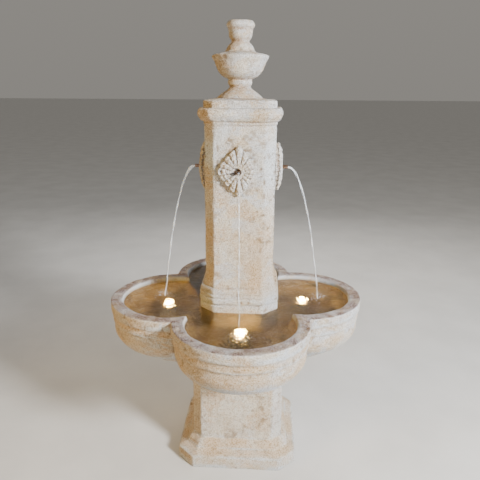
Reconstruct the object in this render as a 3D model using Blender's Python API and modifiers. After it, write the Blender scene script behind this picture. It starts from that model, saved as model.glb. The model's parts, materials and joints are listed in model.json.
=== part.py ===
"""A free-standing garden fountain of cast stone.

A hollow pedestal carries a basin with four round lobes. A hollow column stands in the basin, with a
rosette and a copper spout on each side, and an urn finial lies on the column. A submersible pump in
the column's foot feeds the spouts through a riser, a manifold and four short hoses, and each lobe
holds an underwater lamp on a tilting bracket.

Units are metres, +Z is up, the floor is z = 0, and the front lobe points along -Y.
"""
import math

import bmesh
import bpy
from mathutils import Matrix, Vector
from mathutils.geometry import interpolate_bezier

# Clearance between neighbouring solids
GAP = 0.0003

# The four sides, each with the turn about Z that brings +X to it
SIDES = {"front": -90.0, "right": 0.0, "rear": 90.0, "left": 180.0}

# The pedestal, the column and the finial are set by hand, a little turned from the basin and off its
# centre. Spouts, rosettes, hoses and the manifold sit in the column and follow it.
STONE_TURN = math.radians(-7.0)
PEDESTAL_SHIFT = 0.0135
COLUMN_SHIFT = 0.0135
FINIAL_SHIFT = 0.0120

# Pedestal: height, half-width and corner cut of each level, from the floor up
PEDESTAL_TOP = 0.385
PEDESTAL_LEVELS = [
    (0.000, 0.2325, 0.064),
    (0.045, 0.2325, 0.064),
    (0.049, 0.2285, 0.063),
    (0.062, 0.2010, 0.050),
    (0.066, 0.1975, 0.047),
    (0.080, 0.1915, 0.044),
    (0.094, 0.1800, 0.039),
    (0.099, 0.1755, 0.037),
    (PEDESTAL_TOP, 0.1755, 0.037),
]
PEDESTAL_HOLLOW = (0.132, 0.024)
CABLE_NOTCH = (0.060, 0.035)
# The basin's own foot, a little inside the pedestal's top
BASIN_FOOT = (0.1600, 0.034)

# Basin: a lobe's outline is a circle about its centre, cut off at the diagonals
LOBE_CENTRE = 0.245
LOBE_STEPS = 16
BASIN_BOTTOM = PEDESTAL_TOP + GAP
BASIN_FLOOR = 0.475
# Height and lobe radius down the outer side: the rim, two bands and the start of the bowl
BASIN_BANDS = [
    (0.6375, 0.2410),
    (0.6355, 0.2440),
    (0.6310, 0.2450),
    (0.6000, 0.2450),
    (0.5960, 0.2420),
    (0.5940, 0.2395),
    (0.5660, 0.2390),
    (0.5630, 0.2370),
]
BOWL_TOP = (0.530, 0.235)
BOWL_DEPTH = 0.113
BOWL_STEPS = 9
# Height and lobe radius down the inner side
BASIN_INSIDE = [
    (0.6375, 0.2010),
    (0.6350, 0.1980),
    (0.6200, 0.1960),
    (0.5600, 0.1910),
    (0.5150, 0.1800),
]
# Height and share of the last outline, down to the floor
BASIN_DISH = [(0.4850, 0.955), (BASIN_FLOOR, 0.890)]

# Column: height, half-width and corner cut of each level
COLUMN_FOOT = BASIN_FLOOR + GAP
COLUMN_TOP = 1.3525
COLUMN_HALF = 0.126
COLUMN_CUT = 0.036
COLUMN_LEVELS = [
    (COLUMN_FOOT, 0.1470, 0.056),
    (0.6450, 0.1470, 0.056),
    (0.6475, 0.1440, 0.055),
    (0.6505, 0.1450, 0.055),
    (0.6545, 0.1485, 0.056),
    (0.6630, 0.1498, 0.057),
    (0.6720, 0.1485, 0.056),
    (0.6765, 0.1450, 0.054),
    (0.6800, 0.1462, 0.055),
    (0.6900, 0.1470, 0.055),
    (0.7050, 0.1435, 0.052),
    (0.7140, 0.1375, 0.048),
    (0.7165, 0.1350, 0.046),
    (0.7300, 0.1300, 0.040),
    (0.7460, COLUMN_HALF, COLUMN_CUT),
    (1.2940, COLUMN_HALF, COLUMN_CUT),
    (1.3020, 0.1290, 0.037),
    (1.3040, 0.1280, 0.037),
    (1.3075, 0.1330, 0.038),
    (1.3206, 0.1426, 0.041),
    (1.3290, 0.1462, 0.042),
    (1.3380, 0.1473, 0.042),
    (1.3470, 0.1455, 0.041),
    (COLUMN_TOP, 0.1400, 0.039),
]
COLUMN_HOLLOW = (0.090, 0.020)
FOOT_NOTCH = (0.036, 0.026)

# Finial: a square cap that turns into a round foot, then a turned urn of radius and height
CAP_HALF = 0.1265
CAP_CUT = 0.035
# The urn was cast a little to the left of the cap's middle
URN_OFFSET = -0.0048
CAP_BOTTOM = COLUMN_TOP + GAP
CAP_EDGE = 1.3750
CAP_TOP = 1.3795
URN_FOOT = (0.0820, 1.3850)
CAP_SIDE_STEPS = 4
CAP_CORNER_STEPS = 3
URN_PROFILE = [
    (0.0790, 1.3880),
    (0.0680, 1.3975),
    (0.0480, 1.4105),
    (0.0370, 1.4215),
    (0.0385, 1.4260),
    (0.0430, 1.4310),
    (0.0430, 1.4430),
    (0.0405, 1.4465),
    (0.0524, 1.4520),
    (0.0705, 1.4650),
    (0.0800, 1.4785),
    (0.0860, 1.4920),
    (0.0900, 1.5040),
    (0.0975, 1.5150),
    (0.1005, 1.5210),
    (0.0975, 1.5260),
    (0.0900, 1.5295),
    (0.0560, 1.5365),
    (0.0502, 1.5440),
    (0.0432, 1.5570),
    (0.0325, 1.5680),
    (0.0305, 1.5720),
    (0.0345, 1.5780),
    (0.0400, 1.5860),
    (0.0415, 1.6020),
    (0.0435, 1.6130),
    (0.0490, 1.6190),
    (0.0500, 1.6240),
    (0.0490, 1.6290),
    (0.0440, 1.6350),
    (0.0390, 1.6390),
    (0.0340, 1.6370),
    (0.0200, 1.6290),
]
URN_DISH_BOTTOM = 1.6270

# Rosettes and spouts
SPOUT_HEIGHT = 1.143
ROSETTE_HALF_WIDTH = 0.067
ROSETTE_HALF_HEIGHT = 0.089
ROSETTE_RISE = 0.027
ROSETTE_STEPS = 28
SPOUT_RADIUS = 0.00625
SPOUT_BORE = 0.005
SPOUT_START = 0.046
SPOUT_TIP = 0.171
SPOUT_HOLE = 0.0070

# Bulkhead through the basin's floor, which lets the leads out
BULKHEAD = Vector((0.0, 0.050, 0.0))
BULKHEAD_HOLE = 0.0172
SLEEVE_OUTER = 0.0165
SLEEVE_INNER = 0.0125
FLANGE_RADIUS = 0.026
GASKET_THICKNESS = 0.002
FLANGE_THICKNESS = 0.004
SLEEVE_END = 0.368
NUT_THICKNESS = 0.010
BUNG_TOP = 0.4875

# Pump, whose impeller turns about X
PUMP_AXIS = Vector((0.0, -0.032, 0.512))
PUMP_LOW = Vector((-0.045, -0.060, 0.483))
PUMP_HIGH = Vector((0.030, -0.004, 0.541))
ROTOR_RADIUS = 0.0082
ROTOR_BORE = 0.0090
CHAMBER_RADIUS = 0.0185
CHAMBER_START = 0.010
ROTOR_START = -0.0200
BLADE_RADIUS = 0.0165
SHAFT_RADIUS = 0.0012
VOLUTE_THICKNESS = 0.003
INTAKE_DEPTH = 0.0224
INTAKE_WALL = 0.0025
SLOT_WIDTH = 0.0035
SLOT_SPACING = 0.0085
NOZZLE = Vector((0.019, -0.032, 0.0))
NOZZLE_RADIUS = 0.0080
NOZZLE_BORE = 0.0050
NOZZLE_TOP = 0.566
DIAL_PLACE = Vector((0.010, PUMP_LOW.y - GAP, 0.500))
DIAL_RADIUS = 0.010
FOOT_PLACES = [(-0.036, -0.052), (-0.036, -0.012), (0.022, -0.052), (0.022, -0.012)]

# Riser, manifold and branch hoses
HOSE_INNER = 0.0090
HOSE_OUTER = 0.0112
HOSE_BOTTOM = 0.5445
HOSE_TOP = 1.1150
MANIFOLD_HALF_HEIGHT = 0.018
MANIFOLD_RADIUS = 0.016
MANIFOLD_STEM = 1.085
BARB_RADIUS = 0.0063
BARB_BORE = 0.0045
BARB_END = 0.040
BRANCH_INNER = 0.0066
BRANCH_OUTER = 0.0088
BRANCH_ENDS = (0.0200, 0.0720)
CLAMP_HEIGHTS = {"lower": 0.556, "upper": 1.100}

# Lamps: distance from the column's axis, then sideways offset, on each side
LAMP_PLACES = {"front": (0.235, 0.0), "right": (0.272, 0.045), "rear": (0.240, 0.0), "left": (0.272, -0.045)}
LEAD_SIDES = {"front": -1.0, "right": -1.0, "rear": -1.0, "left": 1.0}
LAMP_PIVOT = BASIN_FLOOR + 0.034
LAMP_RADIUS = 0.022
LAMP_BOTTOM = -0.020
LAMP_RIM = 0.012
LENS_RADIUS = 0.0205
BEZEL_RADIUS = 0.0255
EAR_GAP = 0.0015
EAR_THICKNESS = 0.002
EAR_WIDTH = 0.012
EAR_TOP = 0.008
STUD_RADIUS = 0.0030

# Leads, laid on the basin's floor and led through the column's notches to the bung
LEAD_RADIUS = 0.002
LEAD_FLOOR = BASIN_FLOOR + LEAD_RADIUS + GAP
LEAD_END = BUNG_TOP + GAP
LEAD_ROUTES = {
    "lamp_lead_front": [
        (-0.0308, -0.2350, 0.5090), (-0.0400, -0.2340, 0.5085), (-0.0500, -0.2280, 0.5000),
        (-0.0530, -0.2150, 0.4850), (-0.0460, -0.1980, LEAD_FLOOR), (-0.0280, -0.1780, LEAD_FLOOR),
        (-0.0090, -0.1600, LEAD_FLOOR), (-0.0040, -0.1410, LEAD_FLOOR), (-0.0010, -0.1180, LEAD_FLOOR),
        (-0.0030, -0.0960, LEAD_FLOOR), (-0.0230, -0.0780, LEAD_FLOOR), (-0.0600, -0.0690, LEAD_FLOOR),
        (-0.0745, -0.0350, LEAD_FLOOR), (-0.0700, -0.0050, LEAD_FLOOR), (-0.0550, 0.0180, 0.4830),
        (-0.0380, 0.0340, 0.5020), (-0.0190, 0.0430, 0.5200), (-0.0060, 0.0451, 0.5140),
        (-0.0035, 0.0451, LEAD_END),
    ],
    "lamp_lead_right": [
        (0.2720, 0.0142, 0.5090), (0.2710, 0.0050, 0.5085), (0.2660, -0.0060, 0.5000),
        (0.2540, -0.0150, 0.4860), (0.2360, -0.0180, LEAD_FLOOR), (0.2120, -0.0190, LEAD_FLOOR),
        (0.1850, -0.0190, LEAD_FLOOR), (0.1550, -0.0170, LEAD_FLOOR), (0.1250, -0.0130, LEAD_FLOOR),
        (0.1010, -0.0060, LEAD_FLOOR), (0.0840, 0.0110, LEAD_FLOOR), (0.0660, 0.0350, 0.4830),
        (0.0440, 0.0510, 0.5000), (0.0220, 0.0550, 0.5160), (0.0085, 0.0530, 0.5120),
        (0.0057, 0.0519, LEAD_END),
    ],
    "lamp_lead_rear": [
        (0.0308, 0.2400, 0.5090), (0.0400, 0.2390, 0.5085), (0.0500, 0.2330, 0.5000),
        (0.0530, 0.2200, 0.4850), (0.0500, 0.2030, LEAD_FLOOR), (0.0440, 0.1830, LEAD_FLOOR),
        (0.0360, 0.1630, LEAD_FLOOR), (0.0310, 0.1400, LEAD_FLOOR), (0.0280, 0.1180, LEAD_FLOOR),
        (0.0260, 0.1000, 0.4780), (0.0220, 0.0880, 0.4900), (0.0150, 0.0780, 0.5070),
        (0.0060, 0.0670, 0.5170), (0.0010, 0.0580, 0.5090), (0.0000, 0.0560, LEAD_END),
    ],
    "lamp_lead_left": [
        (-0.2720, 0.0142, 0.5090), (-0.2710, 0.0050, 0.5085), (-0.2660, -0.0060, 0.5000),
        (-0.2540, -0.0120, 0.4860), (-0.2360, -0.0120, LEAD_FLOOR), (-0.2110, -0.0030, LEAD_FLOOR),
        (-0.1850, 0.0080, LEAD_FLOOR), (-0.1560, 0.0160, LEAD_FLOOR), (-0.1300, 0.0180, LEAD_FLOOR),
        (-0.1050, 0.0160, LEAD_FLOOR), (-0.0850, 0.0150, LEAD_FLOOR), (-0.0660, 0.0250, 0.4830),
        (-0.0480, 0.0430, 0.4960), (-0.0280, 0.0560, 0.5120), (-0.0100, 0.0550, 0.5140),
        (-0.0057, 0.0519, LEAD_END),
    ],
    "pump_lead": [
        (-0.0453, -0.0320, 0.5100), (-0.0540, -0.0315, 0.5110), (-0.0610, -0.0250, 0.5160),
        (-0.0610, -0.0110, 0.5220), (-0.0500, 0.0050, 0.5270), (-0.0300, 0.0200, 0.5300),
        (-0.0120, 0.0340, 0.5280), (0.0000, 0.0430, 0.5200), (0.0035, 0.0451, 0.5080),
        (0.0035, 0.0451, LEAD_END),
    ],
}
LEAD_STEPS = 2


def clear_scene():
    """Remove what the file opens with."""
    for obj in list(bpy.data.objects):
        bpy.data.objects.remove(obj, do_unlink=True)


def new_collection(name):
    """Make a collection in the scene."""
    group = bpy.data.collections.new(name)
    bpy.context.scene.collection.children.link(group)
    return group


def new_material(name, colour, roughness, metallic=0.0):
    """Make a Principled material."""
    material = bpy.data.materials.new(name)
    material.use_nodes = True
    shader = material.node_tree.nodes["Principled BSDF"]
    shader.inputs["Base Color"].default_value = (*colour, 1.0)
    shader.inputs["Roughness"].default_value = roughness
    shader.inputs["Metallic"].default_value = metallic
    material.diffuse_color = (*colour, 1.0)
    return material


clear_scene()
PARTS = new_collection("tiered_water_fountain")
CUTTERS = new_collection("cutters")

STONE = new_material("cast_stone", (0.72, 0.60, 0.42), 0.88)
ROSETTE_STONE = new_material("rosette_stone", (0.76, 0.66, 0.48), 0.88)
COPPER = new_material("copper", (0.72, 0.38, 0.20), 0.38, 1.0)
BLACK_PLASTIC = new_material("black_plastic", (0.03, 0.03, 0.035), 0.55)
GREY_PLASTIC = new_material("grey_plastic", (0.20, 0.21, 0.22), 0.5)
MAGNET = new_material("magnet", (0.09, 0.09, 0.10), 0.6)
CERAMIC = new_material("ceramic_shaft", (0.85, 0.84, 0.80), 0.3)
RUBBER = new_material("rubber", (0.04, 0.04, 0.04), 0.85)
CLEAR_HOSE = new_material("hose", (0.62, 0.66, 0.62), 0.35)
STEEL = new_material("stainless_steel", (0.62, 0.62, 0.60), 0.35, 1.0)
LENS = new_material("lens", (0.95, 0.92, 0.80), 0.08)
LED = new_material("led_board", (0.95, 0.80, 0.45), 0.4)
LEAD = new_material("lead_jacket", (0.05, 0.05, 0.05), 0.6)


def new_object(name, mesh, material, parent=None, at=Matrix()):
    """Make a sub-part from a mesh or a curve."""
    obj = bpy.data.objects.new(name, mesh)
    PARTS.objects.link(obj)
    obj.parent = parent
    obj.matrix_basis = at
    mesh.materials.append(material)
    return obj


def set_stone(shift, height=0.0):
    """The place of a piece that stands turned and off centre, at a height."""
    return Matrix.Translation((shift, 0.0, height)) @ Matrix.Rotation(STONE_TURN, 4, "Z")


def new_empty(name, at):
    """Make an empty that places a group of sub-parts."""
    empty = bpy.data.objects.new(name, None)
    PARTS.objects.link(empty)
    empty.matrix_basis = at
    return empty


def combine(target, mesh, operation="DIFFERENCE"):
    """Cut a mesh out of a sub-part, or join it on; the mesh is in the sub-part's own coordinates."""
    tool = bpy.data.objects.new(target.name + "_tool", mesh)
    CUTTERS.objects.link(tool)
    tool.parent = target.parent
    tool.matrix_basis = target.matrix_basis
    tool.hide_render = True
    tool.display_type = "WIRE"
    modifier = target.modifiers.new("shape", "BOOLEAN")
    modifier.operation = operation
    modifier.solver = "EXACT"
    modifier.object = tool


def smooth(mesh, degrees=35.0):
    """Shade a mesh smooth, apart from edges sharper than an angle."""
    mesh.shade_smooth()
    mesh.set_sharp_from_angle(angle=math.radians(degrees))


def box_mesh(low, high):
    """A box between two corners."""
    low = Vector(low)
    high = Vector(high)
    bm = bmesh.new()
    size = Matrix.Diagonal((*(high - low), 1.0))
    bmesh.ops.create_cube(bm, size=1.0, matrix=Matrix.Translation((low + high) / 2) @ size)
    mesh = bpy.data.meshes.new("box")
    bm.to_mesh(mesh)
    bm.free()
    return mesh


def rod_mesh(start, end, radius, sides=16):
    """A cylinder or a cone between two points."""
    start = Vector(start)
    end = Vector(end)
    along = end - start
    turn = along.to_track_quat("Z", "Y").to_matrix().to_4x4()
    bm = bmesh.new()
    bmesh.ops.create_cone(
        bm,
        cap_ends=True,
        segments=sides,
        radius1=radius,
        radius2=radius,
        depth=along.length,
        matrix=Matrix.Translation((start + end) / 2) @ turn,
    )
    mesh = bpy.data.meshes.new("rod")
    bm.to_mesh(mesh)
    bm.free()
    smooth(mesh)
    return mesh


def loft_mesh(rings, poles=None):
    """A closed skin through rings of equal length, closed on itself or by a point at each end."""
    bm = bmesh.new()
    rows = [[bm.verts.new(point) for point in ring] for ring in rings]
    count = len(rows[0])
    links = list(zip(rows, rows[1:]))
    if poles is None:
        links.append((rows[-1], rows[0]))
    for lower, upper in links:
        for i in range(count):
            j = (i + 1) % count
            bm.faces.new((lower[i], lower[j], upper[j], upper[i]))
    if poles is not None:
        first, last = (bm.verts.new(point) for point in poles)
        for i in range(count):
            j = (i + 1) % count
            bm.faces.new((first, rows[0][j], rows[0][i]))
            bm.faces.new((last, rows[-1][i], rows[-1][j]))
    mesh = bpy.data.meshes.new("loft")
    bm.to_mesh(mesh)
    bm.free()
    smooth(mesh)
    return mesh


def turned_object(name, profile, material, parent=None, at=Matrix(), steps=16, closed=True):
    """A turned piece: a profile of (radius, height) spun about Z. A closed profile makes a ring."""
    mesh = bpy.data.meshes.new(name)
    count = len(profile)
    edges = [(i, i + 1) for i in range(count - 1)]
    if closed:
        edges.append((count - 1, 0))
    mesh.from_pydata([(radius, 0.0, z) for radius, z in profile], edges, [])
    obj = new_object(name, mesh, material, parent, at)
    screw = obj.modifiers.new("turn", "SCREW")
    screw.steps = steps
    screw.render_steps = steps
    screw.use_merge_vertices = True
    screw.merge_threshold = 0.00005
    return obj


def cut_square(half, cut, z):
    """A square with its corners cut off, anticlockwise from above."""
    side = half - cut
    plan = [
        (half, -side), (half, side), (side, half), (-side, half),
        (-half, side), (-half, -side), (-side, -half), (side, -half),
    ]
    return [(x, y, z) for x, y in plan]


def cut_square_radius(half, cut, angle):
    """How far the outline of a cut square is from its centre, in a direction."""
    c = abs(math.cos(angle))
    s = abs(math.sin(angle))
    return min(half / max(c, s), (2 * half - cut) / (c + s))


def pedestal():
    """The hollow pedestal, with a notch for the mains lead at its rear."""
    half, cut = PEDESTAL_HOLLOW
    rings = [cut_square(width, corner, z) for z, width, corner in PEDESTAL_LEVELS]
    rings += [cut_square(half, cut, z) for z in (PEDESTAL_TOP, 0.0)]
    obj = new_object("pedestal", loft_mesh(rings), STONE, None, set_stone(PEDESTAL_SHIFT))
    width, height = CABLE_NOTCH
    plinth = PEDESTAL_LEVELS[0][1]
    combine(obj, box_mesh((-width / 2, half - 0.02, -0.01), (width / 2, plinth + 0.02, height)))


def lobe_ring(radius, z):
    """The basin's four-lobed outline, for lobes of one radius."""
    reach = math.pi / 4 + math.asin(LOBE_CENTRE / (math.sqrt(2) * radius))
    ring = []
    for side in range(4):
        turn = Matrix.Rotation(side * math.pi / 2, 3, "Z")
        for step in range(LOBE_STEPS):
            angle = reach * (2 * step / LOBE_STEPS - 1)
            point = Vector((LOBE_CENTRE + radius * math.cos(angle), radius * math.sin(angle), z))
            ring.append(turn @ point)
    return ring


def pad_ring(z):
    """The basin's foot on the pedestal, with as many points as a lobed outline."""
    half, cut = BASIN_FOOT
    ring = []
    for i in range(4 * LOBE_STEPS):
        angle = math.pi / 4 * (2 * i / LOBE_STEPS - 1)
        radius = cut_square_radius(half, cut, angle)
        ring.append(Vector((radius * math.cos(angle), radius * math.sin(angle), z)))
    return ring


def mixed_ring(first, second, share, z):
    """A ring part of the way from one outline to another."""
    return [Vector((*a.lerp(b, share).xy, z)) for a, b in zip(first, second)]


def bowl_rings():
    """The round underside of the lobes, which runs in to the foot on the pedestal."""
    top, radius = BOWL_TOP
    pad = pad_ring(BASIN_BOTTOM)
    half = BASIN_FOOT[0]
    smallest = LOBE_CENTRE / math.sqrt(2) * 1.03
    last = lobe_ring(smallest, 0.0)
    rings = []
    turns = [math.radians(88.0 * i / (BOWL_STEPS - 1)) for i in range(BOWL_STEPS)]
    for turn in turns:
        lobe = radius * math.cos(turn)
        z = top - BOWL_DEPTH * math.sin(turn)
        if lobe > smallest:
            rings.append(lobe_ring(lobe, z))
        else:
            share = (smallest - lobe) / (LOBE_CENTRE + smallest - half)
            rings.append(mixed_ring(last, pad, share, z))
    rings.append(pad)
    return rings


def basin():
    """The four-lobed basin, with the bulkhead's hole through its floor."""
    rings = list(reversed(bowl_rings()))
    rings += [lobe_ring(radius, z) for z, radius in reversed(BASIN_BANDS)]
    rings += [lobe_ring(radius, z) for z, radius in BASIN_INSIDE]
    inside = lobe_ring(BASIN_INSIDE[-1][1], 0.0)
    centre = [Vector((0.0, 0.0, 0.0)) for point in inside]
    rings += [mixed_ring(centre, inside, share, z) for z, share in BASIN_DISH]
    obj = new_object("basin", loft_mesh(rings, ((0, 0, BASIN_BOTTOM), (0, 0, BASIN_FLOOR))), STONE)
    low = BULKHEAD + Vector((0, 0, BASIN_BOTTOM - 0.05))
    high = BULKHEAD + Vector((0, 0, BASIN_FLOOR + 0.05))
    combine(obj, rod_mesh(low, high, BULKHEAD_HOLE, sides=24))


def column():
    """The hollow column, with a notch in each side of its foot and a bore for each spout."""
    half, cut = COLUMN_HOLLOW
    rings = [cut_square(width, corner, z) for z, width, corner in COLUMN_LEVELS]
    rings += [cut_square(half, cut, z) for z in (COLUMN_TOP, COLUMN_FOOT)]
    obj = new_object("column", loft_mesh(rings), STONE, None, set_stone(COLUMN_SHIFT))
    width, height = FOOT_NOTCH
    low = COLUMN_FOOT - 0.02
    high = COLUMN_FOOT + height
    combine(obj, box_mesh((-0.2, -width / 2, low), (0.2, width / 2, high)))
    combine(obj, box_mesh((-width / 2, -0.2, low), (width / 2, 0.2, high)))
    for x, y in ((0.2, 0.0), (0.0, 0.2)):
        combine(obj, rod_mesh((-x, -y, SPOUT_HEIGHT), (x, y, SPOUT_HEIGHT), SPOUT_HOLE))


def cap_angles():
    """Directions that hit the cap's eight corners and divide its sides evenly."""
    corner = math.atan2(CAP_HALF - CAP_CUT, CAP_HALF)
    angles = []
    for side in range(4):
        middle = side * math.pi / 2
        for i in range(CAP_SIDE_STEPS):
            angles.append(middle + corner * (2 * i / CAP_SIDE_STEPS - 1))
        for i in range(CAP_CORNER_STEPS):
            angles.append(middle + corner + (math.pi / 2 - 2 * corner) * i / CAP_CORNER_STEPS)
    return angles


def finial():
    """The cap and urn, one casting that lies loose on the column."""
    angles = cap_angles()

    def square_ring(half, z):
        radii = [cut_square_radius(half, CAP_CUT * half / CAP_HALF, a) for a in angles]
        return [(r * math.cos(a), r * math.sin(a), z - CAP_BOTTOM) for r, a in zip(radii, angles)]

    def round_ring(radius, z):
        return [(URN_OFFSET + radius * math.cos(a), radius * math.sin(a), z - CAP_BOTTOM) for a in angles]

    rings = [
        square_ring(CAP_HALF, CAP_BOTTOM),
        square_ring(CAP_HALF, CAP_EDGE),
        square_ring(CAP_HALF - 0.0015, CAP_EDGE + 0.003),
        square_ring(CAP_HALF - 0.0050, CAP_TOP),
        round_ring(URN_FOOT[0] + 0.004, CAP_TOP + 0.002),
        round_ring(*URN_FOOT),
    ]
    rings += [round_ring(radius, z) for radius, z in URN_PROFILE]
    poles = ((0, 0, 0), (URN_OFFSET, 0, URN_DISH_BOTTOM - CAP_BOTTOM))
    at = set_stone(FINIAL_SHIFT, CAP_BOTTOM)
    new_object("finial", loft_mesh(rings, poles), STONE, None, at)


def lozenge_ring(share, x):
    """A lozenge with rounded sides, in the plane of the column's face, around the spout's axis."""
    ring = []
    for i in range(ROSETTE_STEPS):
        angle = 2 * math.pi * i / ROSETTE_STEPS
        across = abs(math.cos(angle) / ROSETTE_HALF_WIDTH) ** 1.2
        up = abs(math.sin(angle) / ROSETTE_HALF_HEIGHT) ** 1.2
        radius = share * (across + up) ** (-1 / 1.2)
        ring.append((x, radius * math.cos(angle), radius * math.sin(angle)))
    return ring


def eye_ring(radius, x):
    """A circle around the spout's axis."""
    angles = [2 * math.pi * i / ROSETTE_STEPS for i in range(ROSETTE_STEPS)]
    return [(x, radius * math.cos(a), radius * math.sin(a)) for a in angles]


def rosette(side, parent):
    """A leaf rosette on one side of the column, with a hole for the spout."""
    face = COLUMN_HALF + GAP
    rise = ROSETTE_RISE
    rings = [
        lozenge_ring(1.00, face),
        lozenge_ring(0.94, face + 0.62 * rise),
        lozenge_ring(0.70, face + rise),
        lozenge_ring(0.35, face + 0.75 * rise),
        eye_ring(0.011, face + 0.85 * rise),
        eye_ring(SPOUT_HOLE, face + 0.85 * rise),
        eye_ring(SPOUT_HOLE, face),
    ]
    at = Matrix.Translation((0, 0, SPOUT_HEIGHT))
    new_object("rosette_" + side, loft_mesh(rings), ROSETTE_STONE, parent, at)


def tube_profile(inner, outer, low, high):
    """The section of a plain tube, from its outer top edge down."""
    return [(outer, high), (outer, low), (inner, low), (inner, high)]


def spout(side, parent):
    """A copper tube through the column's wall and the rosette."""
    profile = tube_profile(SPOUT_BORE, SPOUT_RADIUS, SPOUT_START, SPOUT_TIP)
    at = Matrix.Translation((0, 0, SPOUT_HEIGHT)) @ Matrix.Rotation(math.pi / 2, 4, "Y")
    turned_object("spout_" + side, profile, COPPER, parent, at)


def branch_hose(side, parent):
    """A short hose from the manifold's barb to the spout's inner end."""
    profile = tube_profile(BRANCH_INNER, BRANCH_OUTER, *BRANCH_ENDS)
    at = Matrix.Translation((0, 0, SPOUT_HEIGHT)) @ Matrix.Rotation(math.pi / 2, 4, "Y")
    turned_object("branch_hose_" + side, profile, CLEAR_HOSE, parent, at)


def manifold():
    """The four-way hub at the top of the riser."""
    low = SPOUT_HEIGHT - MANIFOLD_HALF_HEIGHT
    high = SPOUT_HEIGHT + MANIFOLD_HALF_HEIGHT
    hub = rod_mesh((0, 0, low), (0, 0, high), MANIFOLD_RADIUS)
    obj = new_object("manifold", hub, BLACK_PLASTIC, None, set_stone(COLUMN_SHIFT))
    combine(obj, rod_mesh((0, 0, MANIFOLD_STEM), (0, 0, low + 0.004), NOZZLE_RADIUS), "UNION")
    for x, y in ((BARB_END, 0.0), (0.0, BARB_END)):
        combine(obj, rod_mesh((-x, -y, SPOUT_HEIGHT), (x, y, SPOUT_HEIGHT), BARB_RADIUS), "UNION")
    combine(obj, rod_mesh((0, 0, MANIFOLD_STEM - 0.01), (0, 0, SPOUT_HEIGHT), 0.0055))
    for x, y in ((0.06, 0.0), (0.0, 0.06)):
        combine(obj, rod_mesh((-x, -y, SPOUT_HEIGHT), (x, y, SPOUT_HEIGHT), BARB_BORE))


def smooth_path(points, steps):
    """More points along a smooth curve through a list of points."""
    knots = [Vector(point) for point in points]
    path = [knots[0]]
    for i in range(len(knots) - 1):
        before = knots[max(i - 1, 0)]
        start, end = knots[i], knots[i + 1]
        after = knots[min(i + 2, len(knots) - 1)]
        handle_out = start + (end - before) / 6
        handle_in = end - (after - start) / 6
        path += interpolate_bezier(start, handle_out, handle_in, end, steps + 1)[1:]
    return path


def path_curve(name, points, radius, resolution):
    """A round curve with filled ends along a list of points."""
    curve = bpy.data.curves.new(name, "CURVE")
    curve.dimensions = "3D"
    curve.bevel_depth = radius
    curve.bevel_resolution = resolution
    curve.use_fill_caps = True
    spline = curve.splines.new("POLY")
    spline.points.add(len(points) - 1)
    for knot, point in zip(spline.points, points):
        knot.co = (*point, 1.0)
    return curve


def path_mesh(points, radius, resolution):
    """The closed mesh of a round curve, for a Boolean."""
    holder = bpy.data.objects.new("path", path_curve("path", points, radius, resolution))
    CUTTERS.objects.link(holder)
    graph = bpy.context.evaluated_depsgraph_get()
    mesh = bpy.data.meshes.new_from_object(holder.evaluated_get(graph))
    bpy.data.objects.remove(holder, do_unlink=True)
    bm = bmesh.new()
    bm.from_mesh(mesh)
    bmesh.ops.remove_doubles(bm, verts=bm.verts, dist=0.00001)
    bm.to_mesh(mesh)
    bm.free()
    smooth(mesh)
    return mesh


def riser():
    """The hose from the pump's nozzle to the manifold's stem, with its two clamps."""
    top = COLUMN_SHIFT
    path = smooth_path([
        (NOZZLE.x, NOZZLE.y, HOSE_BOTTOM), (NOZZLE.x, NOZZLE.y, 0.575), (0.0185, -0.0290, 0.610),
        (0.0165, -0.0170, 0.660), (0.0145, -0.0050, 0.710), (top, 0.0, 0.760),
        (top, 0.0, 0.930), (top, 0.0, HOSE_TOP),
    ], 2)
    obj = new_object("riser_hose", path_mesh(path, HOSE_OUTER, 2), CLEAR_HOSE)
    longer = [path[0] - Vector((0, 0, 0.005)), *path, path[-1] + Vector((0, 0, 0.005))]
    combine(obj, path_mesh(longer, HOSE_INNER, 2))
    centres = {"lower": NOZZLE, "upper": Vector((top, 0.0, 0.0))}
    for name, height in CLAMP_HEIGHTS.items():
        at = Matrix.Translation(centres[name] + Vector((0, 0, height)))
        profile = tube_profile(HOSE_OUTER + 2 * GAP, HOSE_OUTER + 0.0016, -0.0045, 0.0045)
        clamp = turned_object("hose_clamp_" + name, profile, STEEL, None, at)
        reach = HOSE_OUTER + 0.0011
        combine(clamp, box_mesh((reach, -0.006, -0.0038), (reach + 0.006, 0.006, 0.0038)), "UNION")


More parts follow.
